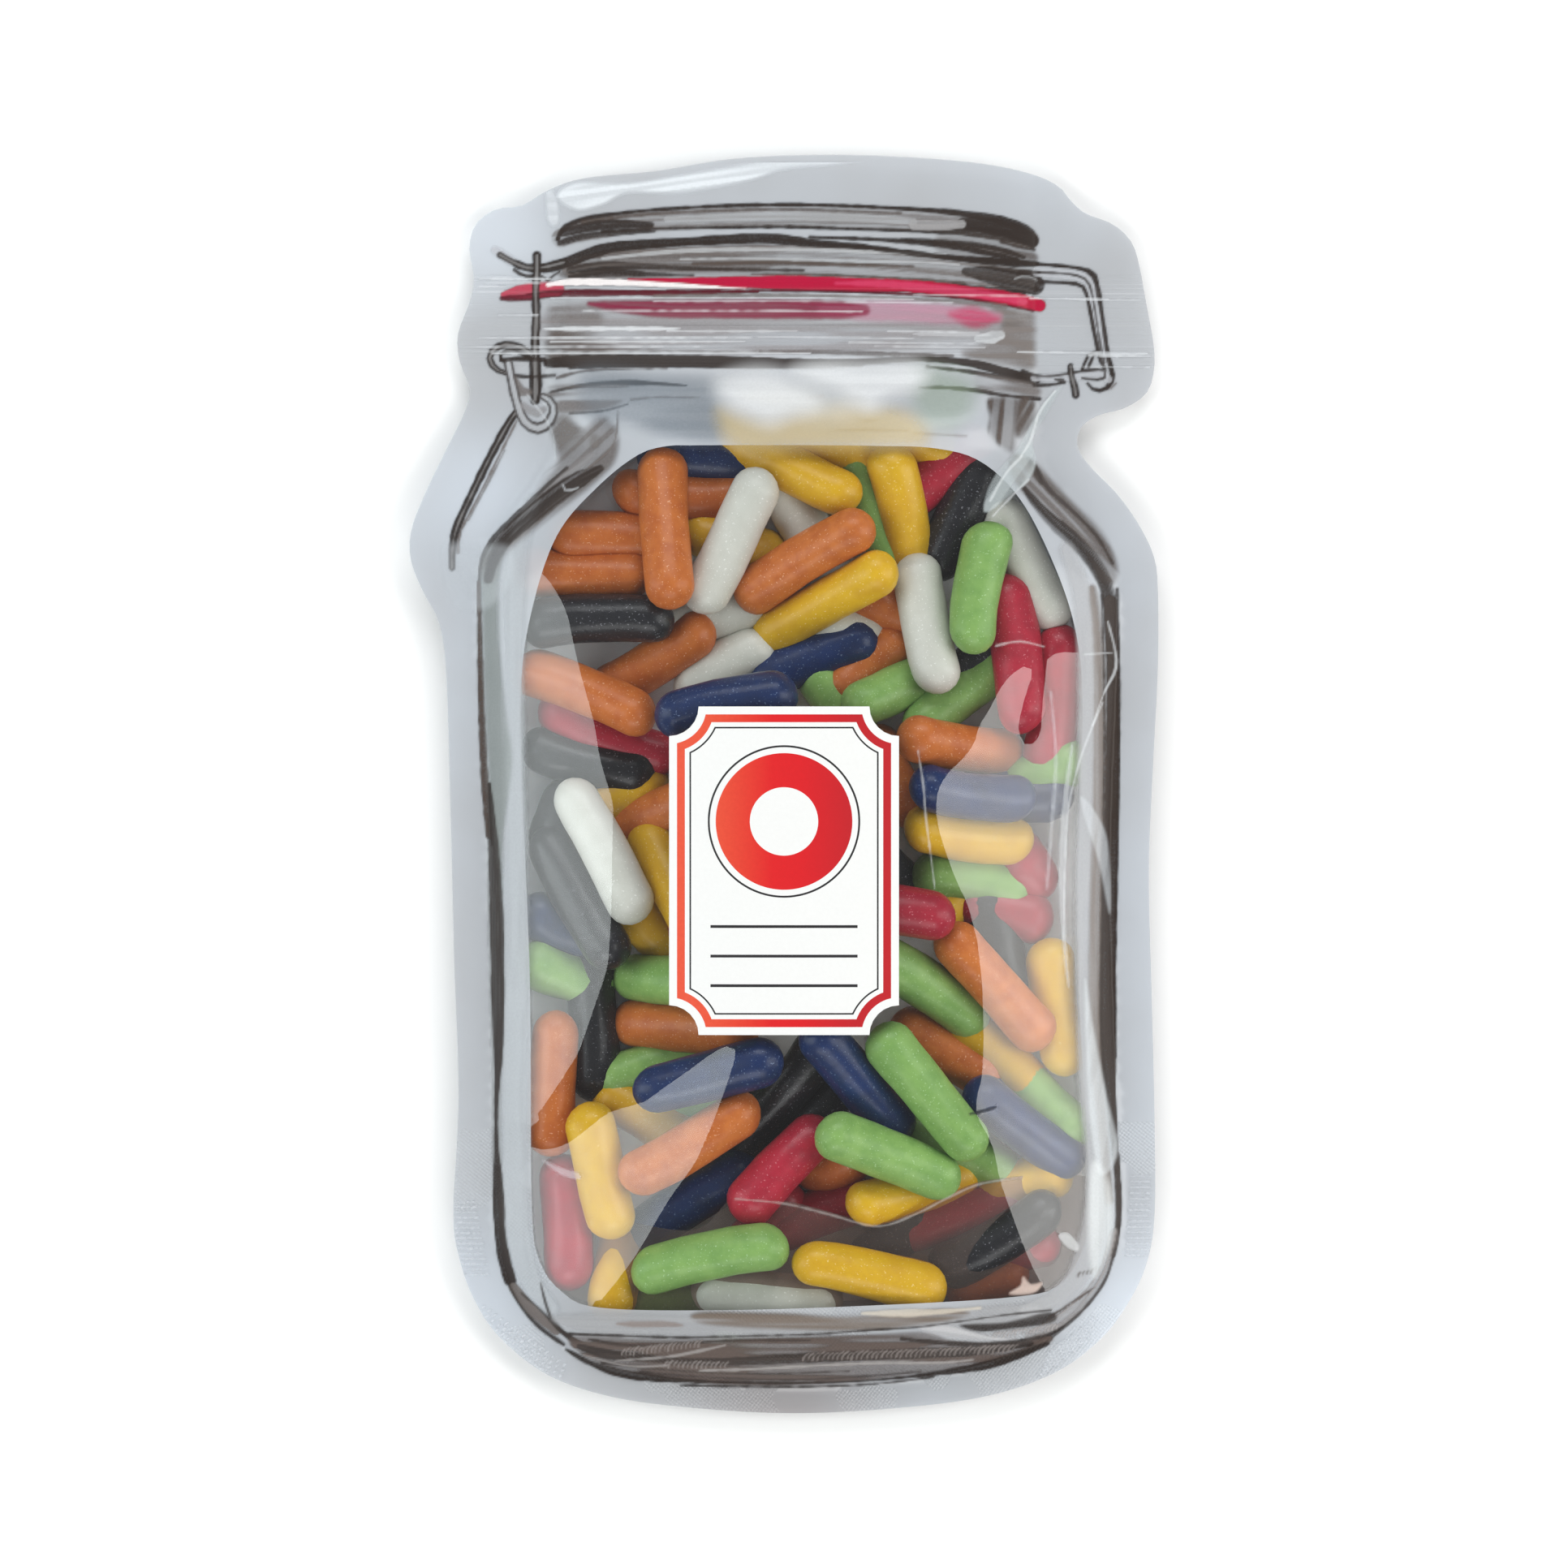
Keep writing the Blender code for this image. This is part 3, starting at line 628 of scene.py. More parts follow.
def paint_film_highlights_and_marks(p):
    """Painted highlights and reflections on the film's creases, folds and edges, some other washes and lines,
    what shows blurred through it, and the sealing bars' hatching.
    """
    p.patch((112, 126, 138), 0.38, [
        (-31, 63.6), (-20, 63), (-11, 62), (-9, 57), (-10, 53), (-18, 53), (-24, 55),
        (-30, 57)], soft=2.0, streak=0.15)
    p.patch((226, 204, 150), 0.50, [
        (-10, 57.5), (-2, 56), (6, 58), (19, 57), (21, 52), (6, 51.6), (-7, 51.6)], soft=2.0, streak=0.0)
    p.patch((170, 192, 164), 0.30, [
        (20, 64), (28, 62.5), (29, 58), (26, 55), (21, 56)], soft=2.2, streak=0.0)
    # painted reflections: the white lobes on the neck's slope
    p.patch((244, 246, 248), 0.72, [
        (-9.5, 62.4), (-5, 63.8), (-1, 63.4), (1.5, 62), (3.4, 61), (5.4, 59), (4.4, 57.4), (1.4, 56.6),
        (-2, 55.2), (-5.4, 56.2), (-8.8, 58.2), (-10.4, 60.4)], soft=2.4, streak=0.1)
    p.patch((244, 246, 248), 0.80, [
        (1.5, 63.6), (6, 64.8), (13, 64.6), (19.4, 64.8), (22, 63.2), (21, 61.2), (19.2, 60.0),
        (16.4, 59.2), (13.4, 57.6), (10.6, 58.8), (8, 60.4), (4.6, 61.6)], soft=2.2, streak=0.1)
    p.patch((240, 240, 236), 0.40, [
        (-6, 60), (6, 60.6), (12, 59), (9, 56.4), (0, 57)], soft=2.6, streak=0.1)
    # painted highlight along the folded top edge of the mouth, and at its left end
    p.patch((238, 243, 248), 0.85, [
        (-35, 90.6), (-32, 92.6), (-24, 92.6), (-16, 93.8), (-8, 95.2), (0, 96.4), (14, 96.6), (8, 95.6),
        (0, 94.8), (-6, 92.9), (-16, 91.2), (-24, 91.2), (-28, 89.4),
        (-32, 88.6)], soft=0.5, streak=0.3, turn=8)
    p.patch((226, 230, 235), 0.75, [
        (-36.6, 92.4), (-35, 90), (-34.8, 86.4), (-36.4, 86.8)], soft=0.4, streak=0.2)
    # painted highlights on the right neck crease and its edges, and a painted highlight line on the left of
    # the neck
    p.patch((214, 224, 226), 0.50, [
        (42.8, 61.4), (40.2, 58.8), (38, 55.2), (35.6, 51.2), (33, 48.2), (31.2, 45), (30.6, 41.8),
        (32.2, 42.2), (34.8, 44.4), (37.4, 46.4), (38.8, 49.6), (38.2, 53),
        (40.4, 57)], soft=0.25, streak=0.35, turn=55)
    p.stroke((236, 240, 242), 0.5, [
        (41.8, 60.6, 0.3), (39.4, 57.4, 0.5), (38.0, 53.0, 0.4), (36.4, 50.4, 0.3)])
    p.stroke((236, 240, 242), 0.45, [(36.6, 50.4, 0.3), (34.0, 47.6, 0.4), (31.6, 43.4, 0.3)])
    p.stroke((230, 234, 236), 0.40, [(37.6, 46.8, 0.3), (34.4, 43.6, 0.4), (32.0, 41.0, 0.3)])
    p.stroke((236, 240, 244), 0.3, [(-39.6, 60, 0.3), (-36, 55, 0.3), (-35.2, 50, 0.25)])
    # painted sheen: a faint pale wash on the left shoulder
    p.patch((226, 232, 238), 0.22, [
        (-52.5, 36.4), (-47, 36.8), (-42, 36.2), (-42, 31), (-46, 27), (-51, 28)], soft=0.8, streak=0.0)
    # painted highlights along creases across the window and down its right side
    p.stroke((236, 228, 230), 0.35, [(32.4, 21.1, 0.25), (36, 21.8, 0.45), (39.8, 21.0, 0.3)])
    p.stroke((240, 242, 244), 0.30, [
        (20.4, 5, 0.2), (21.2, 0, 0.35), (21.6, -5, 0.3), (22.2, -9.6, 0.3), (23, -16, 0.2)])
    p.stroke((238, 242, 247), 0.35, [
        (44.2, 6, 0.4), (43.2, -2, 0.9), (42.6, -12, 1.0), (42.8, -22, 0.8),
        (43.6, -31, 0.4)], soft=0.5, streak=0.2)
    p.stroke((238, 242, 247), 0.28, [
        (40.8, 14, 0.3), (41.6, 4, 0.5), (41.0, -6, 0.6), (40.2, -16, 0.4)], soft=0.5)
    # painted highlights: a clear-edged lens down the right side, a bright patch below it and a small glint
    p.patch((232, 238, 242), 0.50, [
        (46.2, -30), (47.6, -38), (49.6, -48), (51.4, -56.4), (48.6, -60), (47, -52),
        (46.4, -42)], soft=0.4, streak=0.2, turn=80)
    p.patch((240, 245, 246), 0.55, [
        (47.4, -58), (50.2, -62), (50.4, -70), (47.6, -76), (46.8, -68)], soft=0.7, streak=0.2, turn=90)
    p.patch((240, 243, 245), 0.5, [
        (42.0, -69.2), (43.4, -68.8), (45.0, -70.4), (45.0, -71.6), (43.4, -71.0)], soft=0.25, streak=0.0)
    # painted highlight on a crimson sweet
    p.patch((226, 214, 220), 0.45, [
        (-37, -57.6), (-34, -58.8), (-31.6, -59.4), (-31.2, -60.4), (-34, -59.9)], soft=0.25, streak=0.0)
    p.stroke((34, 36, 44), 0.8, [(28.4, -50.3, 0.25), (30.4, -49.9, 0.5), (32.4, -49.3, 0.25)])
    p.stroke((192, 186, 182), 0.4, [
        (-7.4, -63.2, 0.2), (0, -63.9, 0.3), (7, -65.6, 0.3), (14.2, -67.4, 0.3), (20, -65.6, 0.3),
        (25, -63.1, 0.3), (30, -61, 0.3), (36, -60.2, 0.2)])
    # painted highlight on a crumple near the base
    p.patch((228, 206, 196), 0.75, [
        (34.5, -78), (36.2, -76.8), (36.6, -75.4), (37.8, -76.6), (39.6, -76.4), (38.6, -77.8),
        (36.6, -78.2)], soft=0.3, streak=0.1)
    for start, end, lean in (((-49.6, -64), (-47.4, -76), 8), ((-47.4, -82), (-34, -91.6), 30),
                             ((55.4, -60), (54.6, -73), -8), ((47.4, -84), (40, -89.6), -32)):
        for row in np.arange(-2, 3) * 0.85:
            away = (row, 0) if abs(lean) < 10 else (row * 0.35, row)
            p.hatch((232, 236, 242), 0.55, (start[0] + away[0], start[1] + away[1]),
                    (end[0] + away[0], end[1] + away[1]), 15, 0.5, lean, 0.3)
    # painted highlights along the right side's creases
    p.patch((230, 236, 242), 0.38, [
        (45.5, -2), (47.6, -4), (49.8, -9), (50.2, -20), (48.4, -12),
        (46.4, -6)], soft=0.3, streak=0.2, turn=80)
    p.stroke((238, 242, 246), 0.5, [
        (49.8, 25, 0.2), (51, 20.5, 0.35), (51, 17.5, 0.35), (49.2, 14, 0.25), (47.4, 9, 0.2)])
    p.stroke((232, 236, 240), 0.4, [
        (49, 12.5, 0.25), (46.6, 7, 0.3), (44.6, 1, 0.3), (43.4, -6, 0.3), (42.8, -24, 0.2)])
    p.stroke((238, 242, 246), 0.35, [(46.2, 19.9, 0.2), (50.6, 20.2, 0.25)])


# height, left end, right end, width and cover of each painted highlight streak along the zip
ZIP_HIGHLIGHT_STREAKS = (
    (77.9, -47, -36, 0.3, 0.75), (77.3, -46, -37, 0.25, 0.6), (76.7, -47, -43, 0.3, 0.7),
    (74.9, -36, 20, 0.24, 0.6), (75.3, 38, 50, 0.22, 0.75), (75.6, 20, 38, 0.2, 0.5),
    (72.9, -31, 12, 0.2, 0.7), (74.4, -20, 26, 0.2, 0.6), (72.3, -44, -38, 0.2, 0.6),
    (70.2, -37, -16, 0.75, 0.9), (69.8, -18, 2, 0.35, 0.6), (68.8, -47, -5, 0.3, 0.75),
    (68.2, -36, -6, 0.35, 0.75), (67.4, -49, -12, 0.25, 0.7), (66.7, -48, -4, 0.2, 0.55),
    (66.4, -45, 4, 0.3, 0.8), (68.9, -4, 20, 0.25, 0.6), (68.2, 10, 30, 0.25, 0.6),
    (70.0, 16, 30, 0.3, 0.6), (69.6, 20, 32, 0.7, 0.40), (67.6, 14, 31, 0.25, 0.6),
    (67.0, 36, 56, 0.3, 0.75), (66.6, 47, 56.5, 0.35, 0.8), (64.9, 44, 57, 0.2, 0.5),
    (75.2, 44, 55, 0.2, 0.5), (78.2, -48, -42, 0.2, 0.5),
)
STREAK_WIDTHS = (0.3, 0.8, 1, 0.9, 1, 0.8, 0.3)


def paint_zip_highlights(p):
    """Painted highlights along the zip's pressed lines: thin bright and dull streaks that drop away to the
    right.
    """
    for y, left, right, width, cover in ZIP_HIGHLIGHT_STREAKS:
        steps = np.linspace(left, right, len(STREAK_WIDTHS))
        tilt = np.where(steps > 0, -0.011 * steps, 0)
        points = [(x, y + dy, width * k) for x, dy, k in zip(steps, tilt, STREAK_WIDTHS)]
        p.stroke((240, 243, 247), cover * 0.72, points, soft=0.16, streak=0.08)


def paint_lid(p):
    p.stroke(SMOKE, 0.50, [
        (-34.4, 84.2, 2.8), (-30, 85.6, 3.4), (-20, 86.9, 3.4), (0, 87.5, 3.3), (20, 86.9, 3.2),
        (30, 86.0, 3.4), (38.0, 83.9, 2.8)], streak=0.7)
    p.stroke(GLASS, 0.35, [
        (-18, 87.0, 1.0), (-8, 87.4, 1.3), (0, 87.6, 1.4), (12, 87.2, 1.3), (20, 86.7, 1.1)])
    p.stroke(INK, 0.92, [
        (-34.9, 84.0, 0.8), (-34.4, 85.2, 0.8), (-33, 86.3, 0.9), (-30, 87.3, 0.7), (-25, 88, 0.6),
        (-20, 88.5, 0.5), (-10, 89.1, 0.5), (0, 89.3, 0.5), (10, 89.1, 0.5), (20, 88.6, 0.6),
        (27, 88.0, 0.9), (33, 87.0, 1.3), (37, 85.6, 1.6), (38.3, 84.2, 1.5), (38.3, 82.8, 0.6)])
    p.stroke(BROWN, 0.65, [
        (-31, 86.6, 0.6), (-20, 87.9, 0.4), (0, 88.6, 0.35), (18, 88.0, 0.35)], streak=0.5)
    p.stroke(INK, 0.85, [
        (-34, 85.0, 1.2), (-30, 85.9, 1.5), (-26, 86.3, 1.5), (-20.5, 86.2, 0.9)], streak=0.6)
    p.stroke(INK, 0.80, [
        (-34.6, 83.4, 0.9), (-31, 84.4, 1.0), (-26, 84.9, 0.8), (-20, 85.2, 0.4)], streak=0.5)
    p.stroke(INK, 0.85, [
        (-28, 85.2, 0.4), (-20, 85.6, 0.4), (-10, 85.8, 0.45), (0, 85.9, 0.5), (10, 85.6, 0.45),
        (20, 85.3, 0.6), (30, 85.0, 1.4), (38, 84.0, 2.2)], streak=0.4)
    p.stroke(INK, 0.90, [
        (27.6, 86.4, 1.8), (31, 86.1, 2.4), (35, 85.2, 2.4), (38.2, 83.8, 2.2)], streak=0.25)
    p.stroke(MIST, 0.85, [(20, 86.2, 1.5), (24, 86.1, 1.6), (27.4, 86.3, 1.2)], streak=0.4)
    p.stroke(INK, 0.75, [(33.5, 83.6, 0.4), (36, 82.9, 0.4), (38.6, 82.4, 0.4)])
    p.patch(BROWN, 0.60, [
        (24, 84.5), (32, 84), (38, 82.6), (38.6, 80.4), (32, 80.6),
        (24, 82)], soft=0.5, streak=0.6, turn=-8)
    # thick band under the plate and the greys below it
    p.patch(BROWN, 0.50, [
        (-33.5, 80.4), (-28, 81.8), (-15, 82.8), (-2, 83), (-4, 78.6), (-20, 78.0),
        (-33.5, 77.9)], soft=0.5, streak=0.8)
    p.stroke(SMOKE, 0.62, [
        (-33, 79.6, 2.6), (-25, 80.6, 3.2), (-10, 80.7, 4.4), (5, 80.6, 4.6), (20, 79.7, 4.0),
        (30, 78.7, 3.6), (38, 77.6, 3.4)], streak=0.7)
    p.stroke(GLASS, 0.55, [
        (-28, 81.0, 0.4), (-15, 82.2, 0.7), (0, 82.4, 0.6), (15, 82.0, 0.6), (25, 81.6, 0.4)])
    p.stroke(GLASS, 0.50, [
        (-16, 80.9, 0.3), (-4, 81.0, 0.4), (10, 80.6, 0.5), (22, 80.4, 0.4), (27, 80, 0.3)])
    p.stroke(INK, 0.95, [
        (-37, 79.5, 1.3), (-35, 79.9, 1.5), (-33, 80.6, 1.6), (-29, 82.1, 1.8), (-25, 82.9, 1.6),
        (-15, 83.6, 1.3), (-5, 84.1, 1.5), (0, 83.9, 1.5), (5, 83.3, 1.2), (12, 82.8, 0.9),
        (20, 81.8, 0.8), (28, 80.9, 1.0), (36, 80.3, 1.2), (39, 80.2, 0.7)], streak=0.15)
    p.stroke(INK, 0.88, [
        (4, 84.3, 0.4), (15, 83.9, 0.6), (25, 83.0, 0.8), (31, 81.9, 0.8), (36, 80.9, 0.6)])
    p.stroke(INK, 0.80, [(18, 84.0, 0.4), (27, 83.4, 0.7), (33, 82.5, 0.8), (37, 81.2, 0.6)])
    p.stroke(INK, 0.80, [
        (-33, 79.2, 1.0), (-28, 79.9, 1.6), (-22, 79.8, 1.0), (-12, 79.4, 0.5),
        (3, 79.2, 0.4)], streak=0.55)
    p.stroke(INK, 0.80, [
        (-33, 78.2, 0.7), (-27, 78.9, 1.3), (-21, 78.6, 0.6), (-14, 78.4, 0.3)], streak=0.45)
    p.stroke(BROWN, 0.75, [(-14, 80.2, 0.4), (0, 80.3, 0.7), (11, 80.1, 0.5), (20, 79.8, 0.3)], streak=0.5)
    p.stroke(BROWN, 0.70, [(-5, 78.6, 0.3), (8, 78.4, 0.4), (20, 77.8, 0.4), (28, 77.2, 0.4)], streak=0.4)
    p.stroke(INK, 0.92, [(28, 79.0, 1.2), (31, 78.6, 2.6), (35, 77.8, 3.3), (38.6, 77.0, 3.2)], streak=0.35)
    p.stroke(INK, 0.80, [(22, 77.3, 0.3), (30, 76.6, 0.5), (37, 75.8, 0.7)])
    p.stroke(GLASS, 0.4, [(35.6, 77.9, 0.25), (37, 78.3, 0.3), (38.8, 77.9, 0.25), (39.2, 76.8, 0.25)])


def paint_gasket(p):
    p.stroke((190, 66, 88), 0.9, [(-43.3, 75.5, 0.8), (-41, 75.9, 1.9), (-38, 76.2, 2.4), (-35, 76.3, 2.2)])
    p.stroke(WINE, 0.95, [
        (-43.5, 74.9, 0.7), (-40, 75.0, 1.1), (-36, 75.6, 1.2), (-28, 75.7, 1.1), (-16, 75.7, 0.7),
        (-4, 75.9, 0.3)])
    p.stroke((244, 238, 238), 0.95, [
        (-36.4, 77.0, 0.5), (-33, 77.4, 1.0), (-25, 77.3, 1.0), (-15, 76.8, 0.7),
        (-6, 76.4, 0.3)], streak=0.1)
    p.stroke(CRIMSON, 0.97, [
        (-24, 77.8, 0.3), (-15, 77.6, 0.9), (-8, 77.4, 1.6), (0, 77.3, 2.1), (10, 77.0, 2.1),
        (20, 76.7, 1.9), (30, 75.5, 2.1), (36, 74.5, 2.2), (39.4, 73.8, 1.8)], streak=0.03)
    p.stroke(ROSE, 0.7, [
        (8, 77.2, 0.4), (15, 77.1, 1.0), (22, 76.5, 1.2), (30, 75.5, 1.2),
        (37, 74.4, 1.2)], soft=0.5, streak=0.1)
    p.stroke(WINE, 0.9, [
        (-18, 76.1, 0.25), (0, 76.1, 0.35), (15, 75.7, 0.4), (28, 74.8, 0.4), (38.4, 73.0, 0.4)])
    p.stroke(SMOKE, 0.6, [(-20, 75.1, 0.7), (0, 75.3, 0.6), (20, 74.7, 0.6), (34, 73.6, 0.9)], streak=0.5)
    p.stroke((206, 146, 170), 0.6, [
        (6, 73.0, 1.6), (12, 72.9, 2.8), (17, 72.8, 3.0), (22, 72.5, 3.0), (27, 72.2, 2.8),
        (33, 72.0, 1.2)], soft=1.5)
    p.stroke((132, 28, 62), 0.88, [
        (-30, 74.0, 0.5), (-26, 73.6, 1.7), (-18, 73.2, 2.6), (-5, 73.2, 2.9), (5, 73.1, 2.9),
        (9.4, 73.0, 2.6), (12.4, 73.0, 1.6)], soft=0.8, streak=0.2)
    p.stroke((192, 54, 98), 0.75, [
        (25.8, 72.4, 0.8), (28.0, 72.1, 2.6), (30, 71.8, 2.9), (32.8, 71.6, 0.9)], soft=1.6)


def paint_neck(p):
    p.patch((158, 150, 150), 0.45, [(-31, 74), (31, 73), (31, 67), (-31, 67)], soft=1.0, streak=0.6)
    p.patch(SMOKE, 0.55, [
        (-35.9, 73.8), (-32, 73.8), (-29, 73.4), (-28, 71), (-30, 69.6),
        (-35.9, 69.4)], soft=1.1, streak=0.5)
    p.patch(BROWN, 0.66, [
        (-35.9, 69.6), (-31, 69.2), (-28, 68.2), (-26, 67), (-27, 65.6),
        (-35.9, 65.0)], soft=0.9, streak=0.5)
    p.patch((126, 117, 112), 0.75, [
        (32, 73.6), (36.5, 73.0), (38.4, 72.6), (38.6, 70), (38.6, 66.5), (38.4, 64.2), (35, 64.6),
        (29, 65.6), (27.6, 66.6), (30, 67.4), (33, 69), (33.6, 71.4)], soft=0.8, streak=0.35)
    p.stroke(GLASS, 0.75, [(29.8, 68.6, 1.0), (31.8, 68.8, 2.0), (33.4, 69.2, 1.4)], streak=0.3)
    p.stroke(BROWN, 0.55, [
        (-34, 67.1, 0.6), (-25, 66.9, 0.5), (-8, 66.6, 0.5), (5, 66.6, 0.7), (18, 66.2, 0.7),
        (26, 66.0, 0.4)], streak=0.5)
    p.stroke(INK, 0.97, [
        (-36.5, 64.9, 1.3), (-30, 65.3, 2.1), (-20, 65.2, 2.1), (-10, 65.1, 1.8), (0, 64.9, 1.5),
        (10, 65.0, 1.0), (20, 65.4, 0.8), (25, 65.3, 0.9), (30, 64.6, 1.2), (35, 63.2, 1.4),
        (39, 62.3, 1.1)], streak=0.1)
    p.stroke(INK, 0.8, [(-33, 64.1, 0.4), (-22, 64.5, 0.6), (0, 64.2, 0.5), (12, 64.4, 0.3)], streak=0.4)
    p.stroke(INK, 0.85, [(22, 64.3, 0.4), (28, 63.6, 0.6), (34, 62.6, 0.6), (38.6, 61.7, 0.5)])
    p.stroke(INK, 0.8, [
        (-36, 60.4, 0.4), (-32, 61.2, 0.6), (-28, 61.7, 0.6), (-24, 61.8, 0.8), (-19, 61.6, 0.5),
        (-15, 61.3, 0.3)], streak=0.3)
    p.stroke(BROWN, 0.6, [(-35, 62.6, 0.5), (-31, 63.6, 0.4), (-26, 63.9, 0.3), (-18, 64.0, 0.2)])
    p.patch(SMOKE, 0.55, [(-36, 61.2), (-30, 61.4), (-24, 61.3), (-29, 60.2), (-36, 59.6)], streak=0.8)
    p.patch(SMOKE, 0.60, [(-34.5, 59.2), (-28, 59.2), (-25, 59.0), (-28, 57.6), (-34.5, 57.2)], streak=0.9)
    p.stroke(INK, 0.6, [(-33, 57.0, 0.4), (-28, 57.3, 0.3), (-24, 58.4, 0.3)])
    p.stroke(SMOKE, 0.5, [(-23.5, 59.1, 0.25), (-19, 59.5, 0.25), (-13, 59.4, 0.2)])
    p.patch((120, 116, 114), 0.35, [
        (-34.6, 57), (-32, 56), (-30.8, 53), (-32.6, 50.6), (-34.8, 51)], soft=1.0)
    p.patch((120, 114, 110), 0.40, [
        (-29.6, 54), (-28.4, 53), (-28.6, 51.6), (-29.8, 52)], soft=0.5, streak=0.8)
    p.stroke(SMOKE, 0.6, [
        (-25.5, 57.6, 0.2), (-25.8, 53.4, 0.25), (-27, 51, 0.25), (-30, 48.6, 0.3)], streak=0.4)
    p.stroke(INK, 0.85, [
        (20.6, 61.0, 0.3), (25, 61.0, 0.5), (30, 60.5, 0.7), (34, 59.8, 0.5), (39.4, 59.4, 0.6)])
    p.patch(SMOKE, 0.62, [
        (30, 63.2), (38.5, 61.6), (39, 59.8), (34, 60.2), (30, 60.9)], streak=0.85, turn=-10)
    p.patch(BROWN, 0.85, [
        (31.4, 59.2), (36.4, 59), (35.8, 55), (35.4, 51.4), (33.8, 51.6), (31.6, 54),
        (31.8, 56.5)], soft=0.6, streak=0.65, turn=84)
    p.patch(BROWN, 0.80, [
        (36.4, 59.4), (38.6, 58.8), (38.2, 56), (36.4, 53.4), (35.6, 54.6)], streak=0.6, turn=60)
    for spot in ([(3.6, 59.4, 0.4), (5.8, 59.6, 0.5)], [(7, 54.3, 0.3), (14, 54.3, 0.5), (19, 54.2, 0.3)],
                 [(20, 53.8, 0.3), (28, 53.4, 0.4)], [(12, 55.9, 0.3), (14, 55.8, 0.3)]):
        p.stroke((126, 104, 88), 0.25, spot, streak=0.7)


def paint_sides(p):
    p.stroke((206, 211, 216), 0.60, [
        (-38.5, 43.5, 2.4), (-41.0, 35, 3.6), (-41.6, 20, 3.2), (-41.4, 0, 3.2), (-41.4, -20, 4.0),
        (-41.2, -45, 4.2), (-41.2, -65, 4.2), (-39.6, -75, 3.8),
        (-36, -80.5, 2.6)], soft=1.4, streak=0.3, fine=0.5)
    p.patch((144, 151, 149), 0.66, [
        (-46.6, 35), (-43.4, 37), (-43.8, 30), (-43.6, 20), (-42.6, 10), (-41.8, 4), (-42.4, -2),
        (-43.2, -8), (-43.4, -18), (-44.2, -24), (-44.6, -12), (-45.4, 0), (-46, 12),
        (-46.4, 25)], soft=0.45, streak=0.25, turn=90)
    p.stroke((200, 201, 204), 0.60, [
        (43.5, 36, 2.4), (46.4, 25, 3.2), (46.8, 0, 3.6), (46.4, -20, 3.4), (46.6, -45, 2.8),
        (47.9, -60, 3.2), (47.2, -70, 4.0), (44.0, -77.5, 3.8),
        (37.4, -81, 2.8)], soft=1.2, streak=0.25, fine=0.5)
    p.stroke((128, 116, 108), 0.70, [
        (47.4, 30, 1.2), (48.4, 20, 1.6), (48.5, 0, 2.0), (48.0, -20, 2.1), (48.0, -40, 2.0),
        (49.2, -55, 1.5), (50.0, -64, 1.3)], soft=0.8, streak=0.3)
    # left shoulder
    p.patch((104, 94, 89), 0.62, [
        (-36, 55), (-34.6, 50), (-36.6, 46.5), (-41, 41.5), (-45, 37.6), (-46.6, 33), (-45, 31), (-43, 35),
        (-38.6, 38.8), (-34, 42.4), (-29.4, 46), (-26, 49.6), (-25.6, 54), (-28, 56.4), (-31, 54.6),
        (-34, 56.6)], soft=0.7, streak=0.4, turn=42)
    p.patch(MIST, 0.60, [
        (-29, 51), (-34.5, 49.5), (-38, 45.5), (-35.5, 46), (-31, 48.4)], soft=0.8, streak=0.7, turn=35)
    p.stroke(INK, 0.90, [
        (-28.2, 48.4, 1.2), (-32, 46.4, 2.8), (-36, 43.6, 3.1), (-40, 40.3, 2.8), (-43, 37.4, 2.2),
        (-44.7, 34.5, 2.0), (-45.5, 31.5, 1.4)], streak=0.55)
    p.stroke(INK, 0.75, [
        (-33.4, 48.6, 0.5), (-37, 45.4, 0.6), (-41, 41.6, 0.7), (-44.6, 38.0, 0.8), (-46.5, 34.6, 0.6),
        (-47.0, 30.5, 0.5)], streak=0.4)
    p.stroke(GLASS, 0.7, [(-31.6, 45.4, 0.25), (-33.4, 45.0, 0.3), (-34.0, 46.0, 0.25)])
    # left side
    p.stroke((176, 180, 182), 0.5, [
        (-45.2, -10, 1.0), (-44.8, -20, 1.8), (-44.3, -45, 1.6), (-44.2, -58, 1.6)], streak=0.3)
    p.stroke(BROWN, 0.85, [
        (-47.0, 31, 0.6), (-46.7, 15, 0.9), (-46.2, 2, 1.1), (-45.5, -8, 0.9)], streak=0.2)
    p.stroke(INK, 0.96, [
        (-45.4, 0, 0.5), (-44.7, -10, 1.7), (-44.2, -22, 2.2), (-44.0, -36, 2.0), (-44.0, -43, 1.3),
        (-44.3, -49, 0.7), (-44.3, -55, 0.7), (-44.1, -59.5, 1.3), (-43.9, -64, 1.9), (-43.7, -69, 1.8),
        (-43.1, -73, 2.0), (-42.2, -76.4, 2.0)], streak=0.15)
    p.stroke(SMOKE, 0.85, [
        (-41.6, -77.6, 1.6), (-39.6, -80.2, 1.9), (-37.4, -82.4, 1.7), (-35.2, -84.2, 1.4)], streak=0.5)
    p.stroke(INK, 0.85, [(-43.2, -75.5, 0.4), (-40.6, -80.4, 0.4), (-37.6, -83.8, 0.7), (-34, -86.4, 0.6)])
    p.stroke(INK, 0.80, [
        (-40.4, -78.4, 0.35), (-37.4, -81.0, 0.35), (-34.6, -84.0, 0.5), (-31, -87.0, 0.6)])
    p.stroke(INK, 0.88, [
        (-37.4, -76.6, 0.3), (-36.6, -80.0, 0.4), (-35.4, -83, 0.6), (-33, -85.2, 0.8),
        (-29.5, -87.2, 1.0)])
